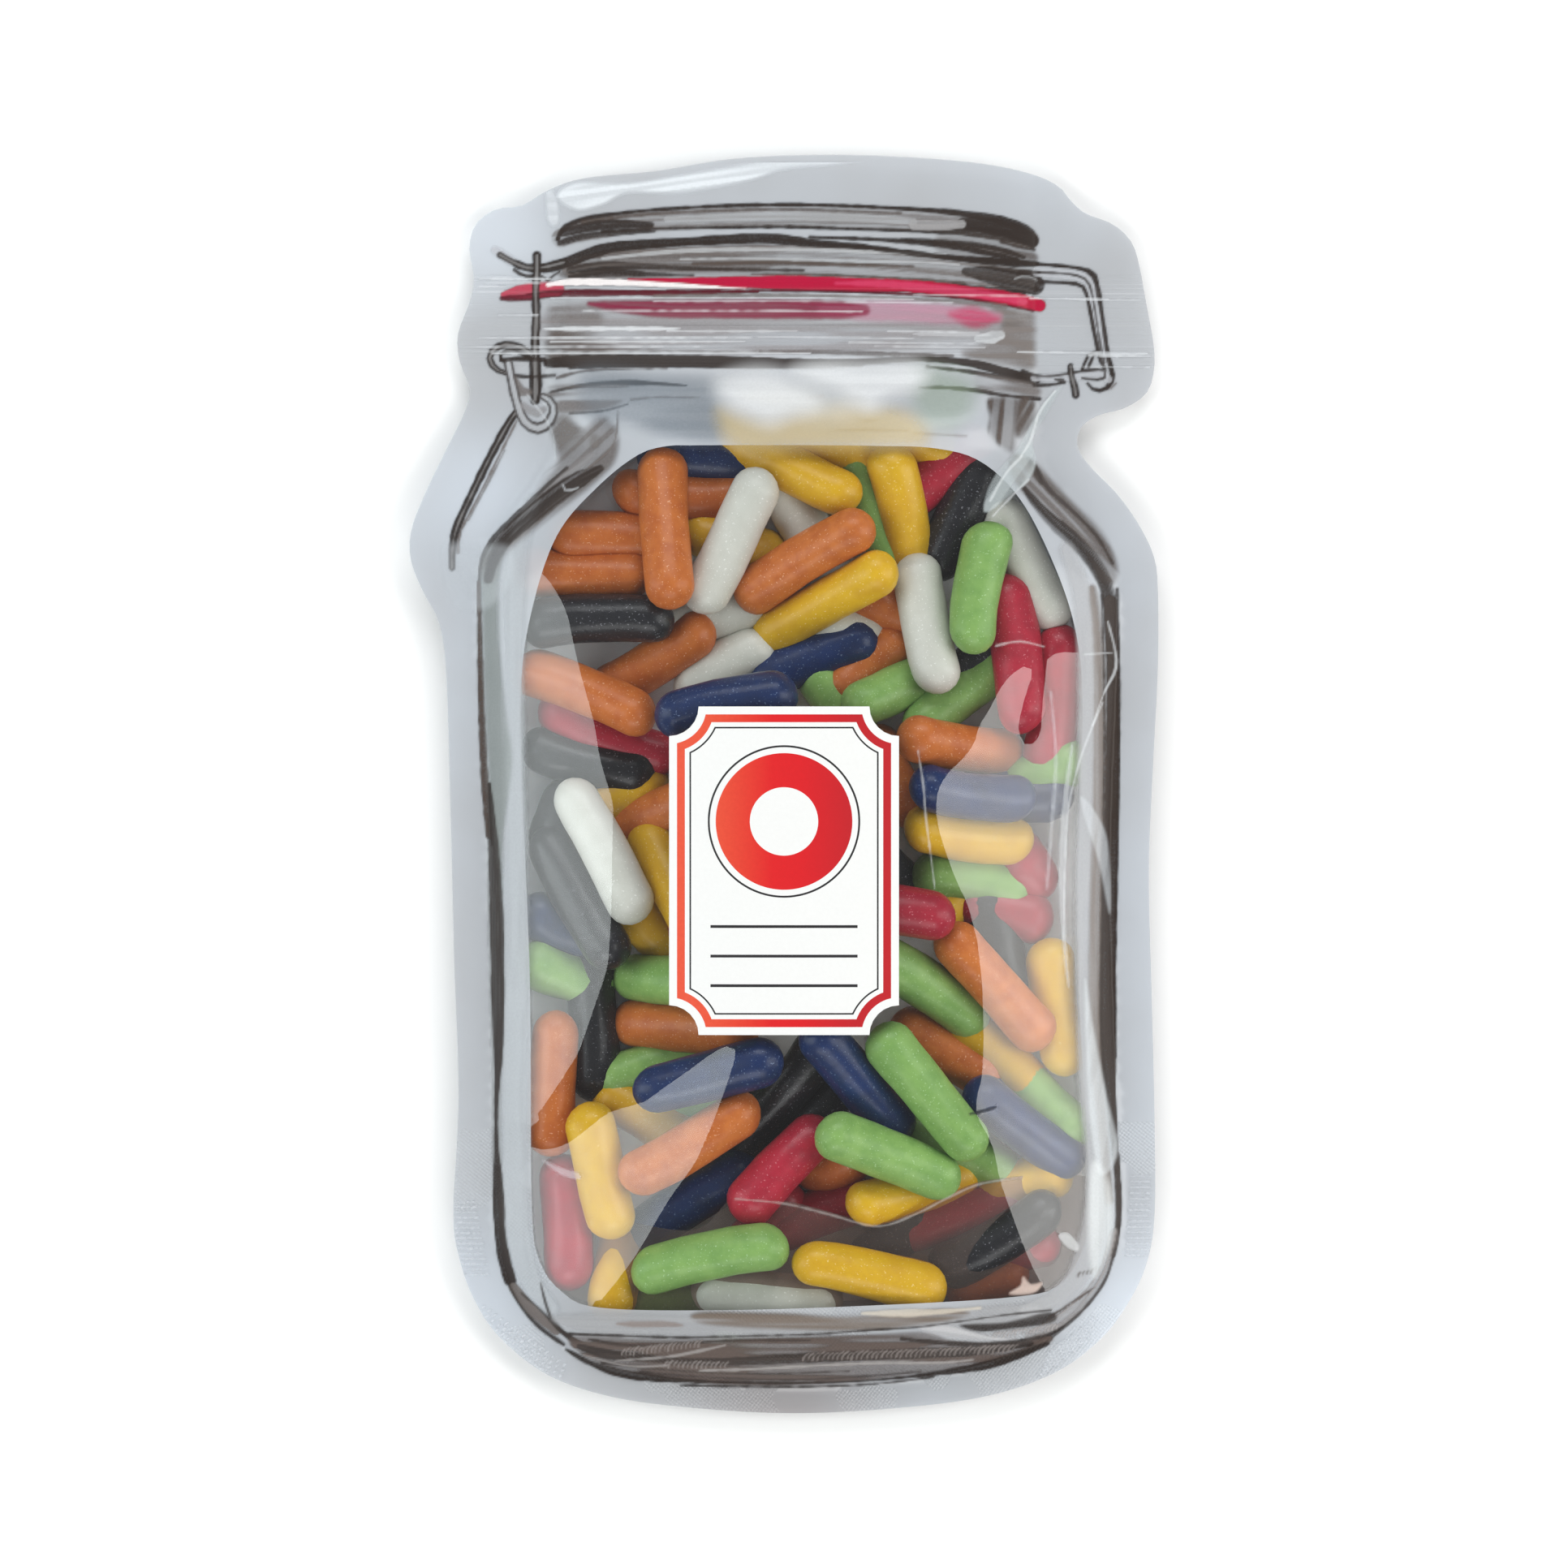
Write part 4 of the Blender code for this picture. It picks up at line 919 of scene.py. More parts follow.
    # right shoulder and side
    p.patch((104, 93, 87), 0.66, [
        (38.4, 49.6), (44, 44), (49.6, 38), (51.4, 32), (48.8, 31), (46, 36.4), (41, 41), (35.6, 46.4),
        (35, 50.4)], soft=0.6, streak=0.5, turn=-46)
    p.stroke(INK, 0.85, [
        (36.4, 46.2, 0.6), (38.6, 43.2, 1.3), (41.2, 40.4, 2.0), (44.4, 37.6, 2.4), (47.2, 34.6, 2.4),
        (49.3, 31.2, 2.3), (50.3, 27, 2.2)], streak=0.5)
    p.stroke(INK, 0.70, [
        (38.8, 49.0, 0.5), (40.6, 45.6, 0.7), (44, 42.4, 0.6), (48.0, 38.4, 0.5),
        (50.6, 34, 0.5)], streak=0.4)
    p.stroke(INK, 0.75, [(37.6, 50.0, 0.8), (38.8, 47.8, 1.0), (39.6, 46.2, 0.5)], streak=0.6)
    p.stroke((58, 47, 41), 0.95, [
        (50.2, 28, 2.2), (50.6, 18, 2.0), (50.6, 5, 2.1), (50.2, -15, 2.3), (49.9, -30, 2.5),
        (49.9, -41, 2.5), (50.4, -49, 1.5), (51.1, -57, 1.0), (51.5, -63, 1.0), (51.4, -68, 0.9),
        (50.7, -72.5, 0.8)], streak=0.12, fine=1.3)
    p.stroke(INK, 0.75, [
        (51.3, 30, 0.5), (51.6, 15, 0.45), (51.4, -5, 0.4), (51.0, -25, 0.4),
        (51.0, -42, 0.5)], streak=0.3)
    p.stroke(INK, 0.70, [
        (48.9, 29, 0.35), (49.3, 10, 0.4), (48.9, -20, 0.45), (48.8, -38, 0.5),
        (50.2, -52, 0.35)], streak=0.4)
    p.stroke((158, 152, 150), 0.75, [
        (50.9, -69, 1.4), (49.3, -75, 1.8), (46.2, -79.5, 2.2), (42.4, -82.8, 2.4),
        (38, -85, 1.8)], streak=0.6)
    p.stroke(INK, 0.75, [
        (51.6, -68, 0.35), (49.9, -75.4, 0.4), (46.8, -80.2, 0.45), (42.8, -83.9, 0.6), (38.4, -86.8, 0.9),
        (33, -88.9, 1.2)], streak=0.35)
    p.hatch(BROWN, 0.7, (45, -75.4), (48.4, -74.6), 5, 0.8, 60, 0.25)
    p.hatch(BROWN, 0.6, (40.6, -82.2), (47.6, -77.8), 14, 1.3, 40, 0.25)


def paint_base(p):
    p.patch((192, 193, 196), 0.62, [
        (-35, -81.6), (-20, -81.2), (0, -81.4), (20, -80.8), (38, -79.8), (36, -82.5), (20, -83), (0, -84),
        (-20, -84.4), (-32, -84)], soft=0.6, streak=0.2)
    p.stroke((142, 128, 122), 0.75, [
        (-25.6, -82.8, 0.5), (-22, -82.8, 1.1), (-18, -82.7, 0.9), (-15.6, -82.9, 0.4)], soft=0.4)
    p.patch((118, 103, 90), 0.85, [
        (-13, -80.9), (0, -81.0), (10, -81.6), (24, -80.4), (28, -81.4), (16, -83.4), (2, -83.4),
        (-12, -82.6)], soft=0.5, streak=0.75)
    p.stroke((232, 222, 206), 0.65, [
        (12, -80.9, 0.5), (18, -80.9, 1.2), (24, -80.7, 0.8), (30, -80.2, 0.4)], soft=0.4)
    p.patch((98, 84, 78), 0.92, [
        (-33, -85.2), (-20, -85.2), (0, -84.8), (14, -84.2), (22, -84.0), (26, -85.4), (36, -85.8),
        (40, -84.6), (41, -86), (33, -88.8), (20, -91), (0, -92.6), (-16, -92),
        (-28, -89.6)], soft=0.3, streak=0.55)
    p.patch((214, 214, 217), 0.80, [
        (20.6, -83.4), (25, -82.9), (31, -84.6), (36, -85.4), (30, -85.4),
        (24, -84.6)], soft=0.4, streak=0.4, turn=-10)
    p.patch(INK, 0.80, [
        (27, -82.8), (34, -82.6), (40.6, -81.0), (41.6, -82.6), (36, -83.8),
        (30, -84)], soft=0.3, streak=0.7, turn=5)
    for line, cover in (
        ([(-33, -84.6, 0.5), (-25, -84.7, 0.4), (-15, -84.8, 0.35), (-5, -84.5, 0.3), (5, -84.2, 0.3),
          (14, -83.5, 0.35), (20, -83.2, 0.3), (27, -82.3, 0.3), (34, -81.4, 0.3), (41, -80.8, 0.4)], 0.85),
        ([(-30, -85.4, 0.4), (-24, -86.2, 0.5), (-16, -85.8, 0.35), (-8, -85.3, 0.3), (4, -85.2, 0.3)], 0.75),
        ([(-31.5, -86.6, 1.0), (-27, -87.8, 1.7), (-21, -88.2, 1.3), (-15, -88.7, 1.1), (-9, -88.7, 1.3),
          (0, -88.2, 1.6), (10, -87.7, 1.7), (20, -87.4, 1.7), (29, -87.2, 1.5), (38, -86.2, 0.8)], 0.92),
        ([(18, -85.0, 0.5), (26, -85.9, 0.7), (33, -86.0, 0.7), (40, -85.0, 0.6), (43, -83.6, 0.4)], 0.85),
        ([(-33.6, -87.2, 0.4), (-30, -89.2, 0.8), (-25.5, -90.8, 1.3), (-20, -91.6, 1.1), (-12, -92.1, 0.5),
          (0, -92.3, 0.35), (10, -92.1, 0.35), (18, -91.5, 0.4), (25, -90.6, 0.8), (31, -89.6, 1.3),
          (36, -88.1, 1.1), (40.6, -86.2, 0.6)], 0.93),
        ([(-16, -92.7, 0.3), (-5, -92.9, 0.3), (5, -92.9, 0.25), (15, -92.4, 0.25), (23, -91.4, 0.3)], 0.8),
        ([(-22, -90.6, 0.5), (-12, -91.3, 0.3), (0, -91.7, 0.3), (12, -91.2, 0.3), (21, -90.5, 0.3)], 0.7),
        ([(-28, -89.2, 0.5), (-20, -90.0, 0.35), (-10, -90.6, 0.3), (-2, -90.7, 0.25),
          (10, -90.3, 0.25)], 0.65),
    ):
        p.stroke(INK, cover, line, streak=0.3)
    p.stroke((176, 172, 170), 0.7, [
        (-13, -90.2, 0.3), (-5, -89.9, 0.5), (5, -89.3, 0.5), (15, -88.9, 0.55), (24, -89.0, 0.5),
        (29, -88.6, 0.3)], streak=0.15)
    p.stroke((170, 165, 163), 0.7, [
        (-26, -88.8, 0.25), (-18, -88.0, 0.35), (-14, -87.2, 0.5), (-9, -86.0, 0.3)])
    p.stroke((170, 165, 163), 0.65, [(-31, -88.0, 0.25), (-24, -89.6, 0.3), (-18, -89.4, 0.3)])
    p.hatch((158, 150, 147), 0.6, (-25, -87.4), (-12.5, -85.7), 19, 1.3, 62, 0.22)
    p.hatch((158, 150, 147), 0.6, (-18.5, -89.2), (-8.5, -89.3), 14, 1.1, 60, 0.22)
    p.hatch((158, 148, 144), 0.60, (3, -87.9), (36, -86.8), 44, 1.5, 52, 0.22)
    p.hatch((186, 180, 178), 0.60, (32, -84.7), (42.4, -83.5), 18, 1.0, 62, 0.2)


def paint_clip(p):
    p.stroke((206, 206, 211), 0.55, [(-44.6, 82.4, 1.2), (-42, 80.6, 1.2)], soft=0.5)
    p.wire([
        (-43.8, 81.6, 1.0), (-41.6, 80.4, 1.1), (-39.5, 79.6, 1.2), (-37, 79.7, 1.2),
        (-34, 80.4, 1.3)], share=0.2)
    p.stroke(INK, 0.8, [(-41.6, 79.3, 0.5), (-40.2, 78.4, 0.6), (-38.8, 78.3, 0.6)])
    p.stroke(INK, 0.85, [(-37.4, 78.3, 0.4), (-36.2, 77.6, 0.4), (-35.6, 78.4, 0.3), (-34.6, 79.0, 0.3)])
    p.wire([
        (-38.1, 81.5, 1.3), (-38.1, 79, 1.2), (-38.3, 76, 1.2), (-38.2, 72, 1.3), (-38.4, 68, 1.3),
        (-38.4, 65, 1.6), (-38.3, 61.6, 1.9), (-38.4, 59.2, 1.5)])
    p.wire([
        (-41.4, 57.2, 0.9), (-42.6, 55.4, 1.2), (-45.4, 50.2, 1.25), (-48.1, 44.6, 1.25),
        (-50.2, 40.0, 1.2), (-51.0, 36.8, 1.2), (-51.1, 33.3, 1.0)], share=0.16)
    p.stroke(SMOKE, 0.75, [
        (-41.2, 56.0, 0.3), (-44.8, 48.8, 0.35), (-47.6, 43.2, 0.35), (-49.8, 38.8, 0.35),
        (-50.2, 35.6, 0.3)], streak=0.3)
    p.stroke(SMOKE, 0.55, [(-43.0, 51.5, 0.25), (-45.8, 46.0, 0.3), (-48.6, 40.6, 0.25)], streak=0.4)
    p.wire([
        (-38.8, 66.0, 0.9), (-40.4, 67.3, 0.9), (-42.8, 67.8, 1.0), (-44.8, 67.0, 1.0), (-45.4, 65.4, 0.9),
        (-44.4, 64.0, 0.8), (-43.0, 63.4, 0.7)], share=0.3)
    p.stroke(INK, 0.85, [
        (-39.6, 65.8, 0.5), (-41.4, 66.9, 0.5), (-43.4, 66.6, 0.6), (-43.9, 65.6, 0.5),
        (-42.6, 64.9, 0.5)])
    p.stroke(INK, 0.85, [(-43.6, 65.4, 0.5), (-41, 65.6, 0.6), (-37, 65.4, 0.7)])
    p.stroke(INK, 0.75, [(-41.4, 63.0, 0.5), (-39.6, 62.8, 0.5), (-35.4, 63.0, 0.4)])
    p.stroke(SMOKE, 0.6, [(-41.6, 62.6, 0.9), (-40.6, 60.6, 1.4), (-39.4, 60.4, 1.2)], soft=0.4)
    p.wire([
        (-42.5, 64.8, 1.3), (-41.9, 61.8, 1.4), (-41.0, 58.2, 1.5), (-39.9, 55.8, 1.6), (-38.0, 54.8, 1.6),
        (-36.3, 55.7, 1.6), (-35.5, 57.5, 1.4), (-36.0, 59.0, 1.2),
        (-37.2, 59.8, 0.9)], core=(198, 201, 206), share=0.5, ink=(84, 80, 80))
    p.stroke(MIST, 0.6, [(-40.2, 58.4, 0.8), (-38.4, 57.2, 1.4), (-37.0, 57.8, 0.8)], soft=0.5)


def paint_hinge(p):
    light = (206, 208, 214)
    p.stroke(light, 0.6, [
        (39, 79.0, 1.6), (44, 78.6, 1.7), (46.6, 77.9, 1.7), (47.6, 76, 1.5), (48.6, 70, 1.4),
        (49.5, 65, 1.3)], soft=0.3)
    p.stroke(INK, 0.9, [
        (37.5, 80.2, 0.6), (40, 80.1, 0.5), (43.5, 79.8, 0.5), (46, 79.4, 0.7), (47.6, 78.6, 0.9),
        (48.3, 76.6, 0.8), (49.2, 71, 0.7), (50.0, 65.6, 0.8), (50.6, 63.8, 0.8), (50.4, 62.0, 0.8),
        (49.4, 60.8, 0.7), (47.8, 60.8, 0.5), (46.8, 61.8, 0.4)], streak=0.15)
    p.stroke(INK, 0.85, [
        (39.2, 78.9, 0.5), (43.5, 78.7, 0.4), (45.8, 78.2, 0.4), (47.0, 77.2, 0.4), (47.7, 74.5, 0.35),
        (48.6, 69, 0.35), (49.4, 65, 0.35)], streak=0.3)
    p.stroke(INK, 0.9, [
        (38.8, 76.2, 0.6), (39.3, 77.4, 0.6), (41, 77.4, 0.5), (44.8, 77.2, 0.5), (46.2, 76.6, 0.5),
        (46.9, 74.6, 0.6), (47.9, 69.6, 0.6), (48.9, 65.2, 0.6), (49.4, 64.2, 0.5)], streak=0.15)
    p.stroke(INK, 0.85, [(36.5, 78.9, 0.9), (39.4, 78.9, 0.5)])
    p.stroke(light, 0.6, [
        (38.6, 62.6, 1.0), (44, 62.8, 1.2), (49.2, 63.2, 1.4), (50.0, 62.4, 1.2)], soft=0.3)
    p.stroke(INK, 0.88, [
        (36.8, 63.6, 0.8), (38.6, 63.0, 0.6), (41, 62.9, 0.4), (44, 63.3, 0.4), (47, 63.8, 0.5),
        (49.4, 63.8, 0.4), (49.6, 62.8, 0.4), (48.6, 62.4, 0.5), (46, 62.6, 0.4)])
    p.stroke(INK, 0.85, [(38.6, 61.5, 0.5), (41.5, 61.6, 0.4), (43.6, 62.2, 0.8), (41.8, 62.4, 0.4)])
    p.wire([(44.2, 64.4, 1.0), (44.3, 63, 1.0), (44.8, 61.4, 1.2), (45.0, 60.0, 1.1)], share=0.25)
    p.stroke(INK, 0.85, [(46.0, 64.0, 0.4), (47.0, 66.2, 0.4), (47.9, 66.6, 0.4), (47.0, 64.4, 0.4)])
    p.stroke(SMOKE, 0.6, [(50.4, 61.0, 0.3), (51.2, 61.8, 0.3)])


NECK_SPLIT = 56


def make_print():
    """The printed jar with, on the front sheets, the painted highlights of the film and zip: one sheet for
    the back, and two at the front, which meet under the neck.
    """
    ink = ink_and_highlight_material("print_ink_and_painted_highlights")
    for side, height, lift, step in (("front", film_top, -0.02, 0.23),
                                     ("back", film_bottom, 0.03, 0.6)):
        p = Print(step)
        # the front sheets also take the painted highlights of the film and zip
        front_only = (paint_film_highlights_and_marks, paint_zip_highlights) if side == "front" else ()
        for paint in (paint_sides, paint_base, paint_neck, paint_lid, paint_gasket, paint_clip, paint_hinge,
                      *front_only):
            paint(p)
        grid = np.arange(p.x.size).reshape(p.x.shape)
        corners = np.stack([grid[:-1, :-1], grid[:-1, 1:], grid[1:, 1:], grid[1:, :-1]], axis=-1)
        corners = corners.reshape(-1, 4)
        flat_cover = p.cover.ravel()
        xy = np.column_stack([p.x.ravel(), p.y.ravel()])
        within = inside(*xy.T, OUTLINE_LOOP)
        painted = (flat_cover[corners].max(axis=1) > 0.02) & within[corners].all(axis=1)
        above = xy[corners[:, 0], 1] > NECK_SPLIT
        for name, keep in ((("print_and_painted_highlights_front_neck", painted & above), ("print_and_painted_highlights_front_body", painted & ~above))
                           if side == "front" else (("print_back", painted),)):
            used, fresh = np.unique(corners[keep], return_inverse=True)
            faces = fresh.reshape(-1, 4)
            if side == "back":
                faces = faces[:, ::-1]
            verts = np.column_stack([xy[used], height(*xy[used].T) + lift])
            made = add_piece(name, verts, faces, ink)
            layer = made.data.color_attributes.new("paint", "FLOAT_COLOR", "POINT")
            rgba = np.column_stack([p.colour.reshape(-1, 3)[used], flat_cover[used]])
            layer.data.foreach_set("color", rgba.astype(np.float32).ravel())


# Sweets
# colour: (x, y, bearing in degrees, length, rank); rank 0 is laid first and lies uppermost
SWEETS = {
    "orange": (
        (-18.2, 39.2, 94, 25.5, 0), (3.1, 34.5, 31, 25, 0), (-30.6, 14.2, -22, 24, 0),
        (32.5, -31.2, -48, 25, 0), (-14.3, -55.2, 31, 25, 0), (27.2, 5.7, -9, 20.5, 0),
        (-19.8, 19.0, 32, 22, 1), (-31, 32.2, -2, 22, 1), (-25, 38.0, -3, 23, 2),
        (-15.5, 44.3, -3, 23, 3), (-35.6, -46, 87, 23, 0), (-15.5, -3.2, 20, 24, 1),
        (-15.5, -37.3, -3, 23, 1), (25, -41.2, -32, 20, 2), (16.6, 1, 118, 18, 2), (8, -58.5, 25, 14, 3),
        (13, 18.5, 40, 16, 3), (16, 27, -20, 18, 3), (31, -76, 15, 14, 3), (-12.5, -25.5, -30, 18, 3),
    ),
    "yellow": (
        (0.5, 48.7, -27, 25, 1), (6.5, 28, 29, 25, 0), (18.4, 40.6, 101, 24, 0), (28, -8, -8, 21, 0),
        (-17, -15.4, -62, 23, 0), (-28.2, -59.4, 102, 22, 0), (13, -75.1, -13, 24.5, 0),
        (19.6, -62.6, 16, 22, 1), (41.8, -34.4, 98, 22, 0), (7, 52.5, -22, 22, 2),
        (18.5, 54.5, -18, 22, 3), (-8, 37, -20, 18, 2), (-22, -20.5, -50, 18, 2),
        (-20.5, -51.6, -32, 20, 2), (33, -41.6, -42, 20, 1), (9.5, -26, 50, 18, 3),
        (-26, -2.5, 30, 18, 3), (37, -61.4, 20, 16, 3), (-25.5, -74, 80, 18, 3), (27, -15.5, 60, 16, 3),
    ),
    "white": (
        (-8.1, 37.2, 64, 24.5, 0), (21.8, 24.7, 101, 22.5, 0), (-27.6, -10.2, 118, 25, 0),
        (-2.5, -78.6, -5, 24, 1), (-9.4, 18.4, 30, 18, 2), (-12, 26, 14, 20, 3), (-10.5, 6.4, 20, 18, 3),
        (37.4, 33.6, 116, 22, 1), (1.5, 42.5, -60, 20, 3), (9, 24.3, -20, 16, 3), (-12, -31, 20, 16, 4),
    ),
    "navy": (
        (-9, 12.4, 11, 23, 0), (4.8, 19.6, 22, 22, 1), (28.7, -1.7, -7, 20, 0),
        (-11.5, -44.6, 15, 23.5, 0), (-14.2, -64, 32, 24, 1), (11.3, -45.6, -50, 24, 0),
        (37, -53, -37, 23, 0), (-12, 50, -5, 22, 2), (-35.6, -22.5, -30, 14, 3),
        (32.8, -49.2, -50, 14, 3), (36, -1.5, -10, 18, 2),
    ),
    "green": (
        (29.8, 30.2, 80, 21, 0), (22, -47.2, -51, 26, 0), (15.8, -56.8, -22, 24, 0),
        (-11.4, -72.4, 12, 25, 0), (21, -30.6, -33, 25, 0), (29, -14.7, -10, 19.5, 0),
        (27.4, 14.2, 38, 22, 1), (17, 14.6, 25, 18, 2), (7.8, 13.4, -50, 16, 2), (-16, -30.2, -3, 22, 1),
        (27, -56.5, -24, 22, 2), (41.2, -49.4, -45, 18, 2), (-20, -43.6, 15, 20, 3),
        (14, 42, -68, 22, 3), (-36, -30.4, -20, 16, 3), (-17, -79, 10, 16, 4), (-13.5, -50, 20, 14, 4),
        (40.4, 2, 20, 14, 4),
    ),
    "crimson": (
        (35.6, 20, 97, 25, 0), (41.8, 13, 84, 24, 0), (14.4, -19.2, -4, 24, 0), (-0.6, -59, 47, 21, 1),
        (-27, 7.4, -22, 24, 2), (24, 48, 40, 20, 3), (27, -66.6, 14, 22, 3), (34, -19.4, -15, 16, 3),
        (37.4, -12.6, -60, 12, 3), (6, -66, 20, 20, 4), (-33.4, -67.4, -86, 21, 2),
        (37, -71.5, 20, 12, 4), (-3, -68, 50, 16, 4),
    ),
    "black": (
        (-28.5, 25.3, 2, 24, 0), (-30.2, 3.2, -13, 22, 1), (-31.6, -17.6, -60, 25, 1),
        (-29.4, -37.2, 93, 24, 1), (32.8, -70.2, 31, 23, 1), (27.6, 41.8, 64, 23, 0),
        (0, -47.4, 50, 22, 2), (4.6, -51.2, 50, 20, 3), (-34.6, -5.4, 70, 14, 3),
        (33, -24.6, -76, 20, 3), (-4, -52, 60, 18, 4), (17, -70, 40, 16, 4), (13, -10, -50, 20, 3),
        (30.5, 20, 50, 16, 4),
    ),
}
RADIUS = 3.85
AROUND = 22
CAP = np.radians([84, 68, 48, 30, 14])
BETWEEN_CAPS = 8
# tries at adding sticks at random: the first few are hung under the others, the rest lie on the back film
SEED, TRIES, HUNG_TRIES, MOST_HUNG, HIGHEST_HUNG = 11, 3000, 600, 46, 14.5
NUDGES, NUDGE_X, NUDGE_Y = 24, 0.4, 0.15
CHAMBER = spaced(WELD_LINE[WELD_LINE[:, 1] < 57], 4.0, closed=True)


def ceiling(x, y):
    """Highest that a sweet's axis can lie under the front film."""
    beside = ((2.9, 0), (-2.9, 0), (0, 2.9), (0, -2.9), (0, 0))
    return np.minimum.reduce([film_top(x + a, y + b) for a, b in beside]) - RADIUS * 1.02 - 0.45


def floor_level(x, y):
    """Lowest that a sweet's axis can lie over the back film."""
    return film_bottom(x, y) + RADIUS + 0.4


def points_along(x, y, bearing, reach):
    """The points at these distances from (x, y), along a sweet's axis."""
    turn = math.radians(bearing)
    return x + reach * math.cos(turn), y + reach * math.sin(turn)


def room(x, y, bearing, length):
    """Least height to spare between the films along a sweet that lies here."""
    px, py = points_along(x, y, bearing, np.linspace(-1, 1, 5) * (length / 2 - RADIUS))
    return float((ceiling(px, py) - film_bottom(px, py) - RADIUS - 0.3).min())


def settle(x, y, bearing, length, placed):
    """Axis of a sweet hung as high as the film and the sweets above it let it, and how far it misses.

    One that comes out below the back film is set on it, and there it can run into its neighbours.
    """
    t = np.linspace(0, 1, 9)
    px, py = points_along(x, y, bearing, (2 * t - 1) * (length / 2 - RADIUS))
    limits = [ceiling(px, py)]
    for axis in placed:
        d2 = (px[:, None] - axis[None, :, 0]) ** 2 + (py[:, None] - axis[None, :, 1]) ** 2
        near = (1.96 * RADIUS) ** 2 - d2
        gap = np.sqrt(np.maximum(near, 0))
        limits.append(np.where(near > 0, axis[None, :, 2] - gap, np.inf).min(axis=1))
    limit = np.minimum.reduce(limits)
    za = zb = float(limit.max()) + 1.0
    for _ in range(60):
        z = za + (zb - za) * t
        k = int(np.argmax(z - limit))
        over = z[k] - limit[k]
        if over < 0.02:
            break
        weight = (1 - t[k]) ** 2 + t[k] ** 2
        za -= over * (1 - t[k]) / weight * 0.9
        zb -= over * t[k] / weight * 0.9
    floor = floor_level(px, py)
    z = za + (zb - za) * t
    short = float(np.max(floor - z))
    z = np.maximum(z, floor) if short > 0 else z
    za, zb = float(z[0]), float(z[-1])
    return np.column_stack([px, py, za + (zb - za) * t]), short


def lying(x, y, bearing, length):
    """Axis of a sweet that lies on the back film."""
    t = np.linspace(-1, 1, 9) * (length / 2 - RADIUS)
    px, py = points_along(x, y, bearing, t)
    floor = floor_level(px, py)
    slope, level = np.polyfit(t, floor, 1)
    z = level + slope * t
    return np.column_stack([px, py, z + max(0.0, float((floor - z).max()))])


def sweet_mesh(start, end, radius, rng):
    """A sugar-coated stick: rounded ends, a slight bend, and a surface that is never quite even."""
    axis = end - start
    length = np.linalg.norm(axis)
    way = axis / length
    side = np.cross(way, [0.0, 0.0, 1.0])
    side /= np.linalg.norm(side)
    up = np.cross(side, way)
    stations = [(-radius * math.sin(a), math.cos(a)) for a in CAP]
    stations += [(length * t, 1.0) for t in np.linspace(0, 1, BETWEEN_CAPS)]
    stations += [(length + radius * math.sin(a), math.cos(a)) for a in CAP[::-1]]
    bend_way, bend = rng.uniform(0, 2 * math.pi), rng.uniform(0.1, 0.6)
    taper, belly = rng.uniform(-0.05, 0.05), rng.uniform(-0.03, 0.03)
    phases = rng.uniform(0, 2 * math.pi, 6)
    point = rng.uniform(0.92, 1.05, 2)
    verts = []
    for along, share in stations:
        t = np.clip(along / length, -0.2, 1.2)
        size = radius * (1 + taper * (t - 0.5) * 2 + belly * math.cos(math.pi * (t - 0.5)))
        offset = bend * (4 * (t - 0.5) ** 2 - 0.5) * (math.cos(bend_way) * side + math.sin(bend_way) * up)
        if along < 0:
            along = along * point[0]
        elif along > length:
            along = length + (along - length) * point[1]
        for k in range(AROUND):
            turn = 2 * math.pi * k / AROUND
            uneven = 1 + 0.018 * math.sin(2 * turn + phases[0] + 2 * t)
            uneven = uneven + 0.014 * math.sin(3 * turn + phases[1] - 5 * t)
            uneven += 0.012 * math.sin(9 * t + phases[2] + turn) + 0.008 * math.sin(17 * t + phases[3] - turn)
            r = size * share * uneven
            verts.append(start + way * along + offset + r * (math.cos(turn) * side + math.sin(turn) * up))
    return np.array(verts)


def sweet_faces(count):
    """Faces of so many sticks, all turned outwards: the rings of each, then the flat ends of all."""
    rings = 2 * len(CAP) + BETWEEN_CAPS
    per = rings * AROUND
    faces = []
    for first in range(0, count * per, per):
        for i in range(rings - 1):
            for k in range(AROUND):
                a, b = first + i * AROUND + k, first + i * AROUND + (k + 1) % AROUND
                faces.append((a, a + AROUND, b + AROUND, b))
    for first in range(0, count * per, per):
        faces.append(tuple(first + k for k in range(AROUND)))
        faces.append(tuple(first + per - AROUND + k for k in range(AROUND))[::-1])
    return faces


def sweet_material(name, colour, deep, speck, roughness, mottle, pit):
    n = Nodes("sweet_" + name)
    where = n.where()
    own = n.add("ShaderNodeAttribute", {"attribute_name": "own"}).outputs["Fac"]
    cloud = n.noise(where, 320.0, 4.0, 0.6)
    patches = n.ramp(cloud, [(0.38, grey(0)), (0.66, grey(1))])
    tone = n.mix(n.math("MULTIPLY", patches, mottle), colour, deep)
    tone = n.mix(n.math("MULTIPLY", own, 0.35), tone, deep)
    specks = n.math("MULTIPLY", n.math("GREATER_THAN", n.noise(where, 2900.0, 1.0), 0.69), 0.5)
    tone = n.mix(specks, tone, speck)
    fine, dents = n.noise(where, 1300.0, 3.0), n.noise(where, 240.0, 2.0)
    bump = n.bump(n.math("ADD", n.math("MULTIPLY", fine, pit), dents), 0.5, 0.00018)
    rough = n.math("ADD", roughness, n.math("MULTIPLY", cloud, 0.2))
    return n.finish(n.add(
        "ShaderNodeBsdfPrincipled", Specular_IOR_Level=0.3, Coat_Weight=0.1, Coat_Roughness=0.2,
        Base_Color=tone, Roughness=rough, Normal=bump))


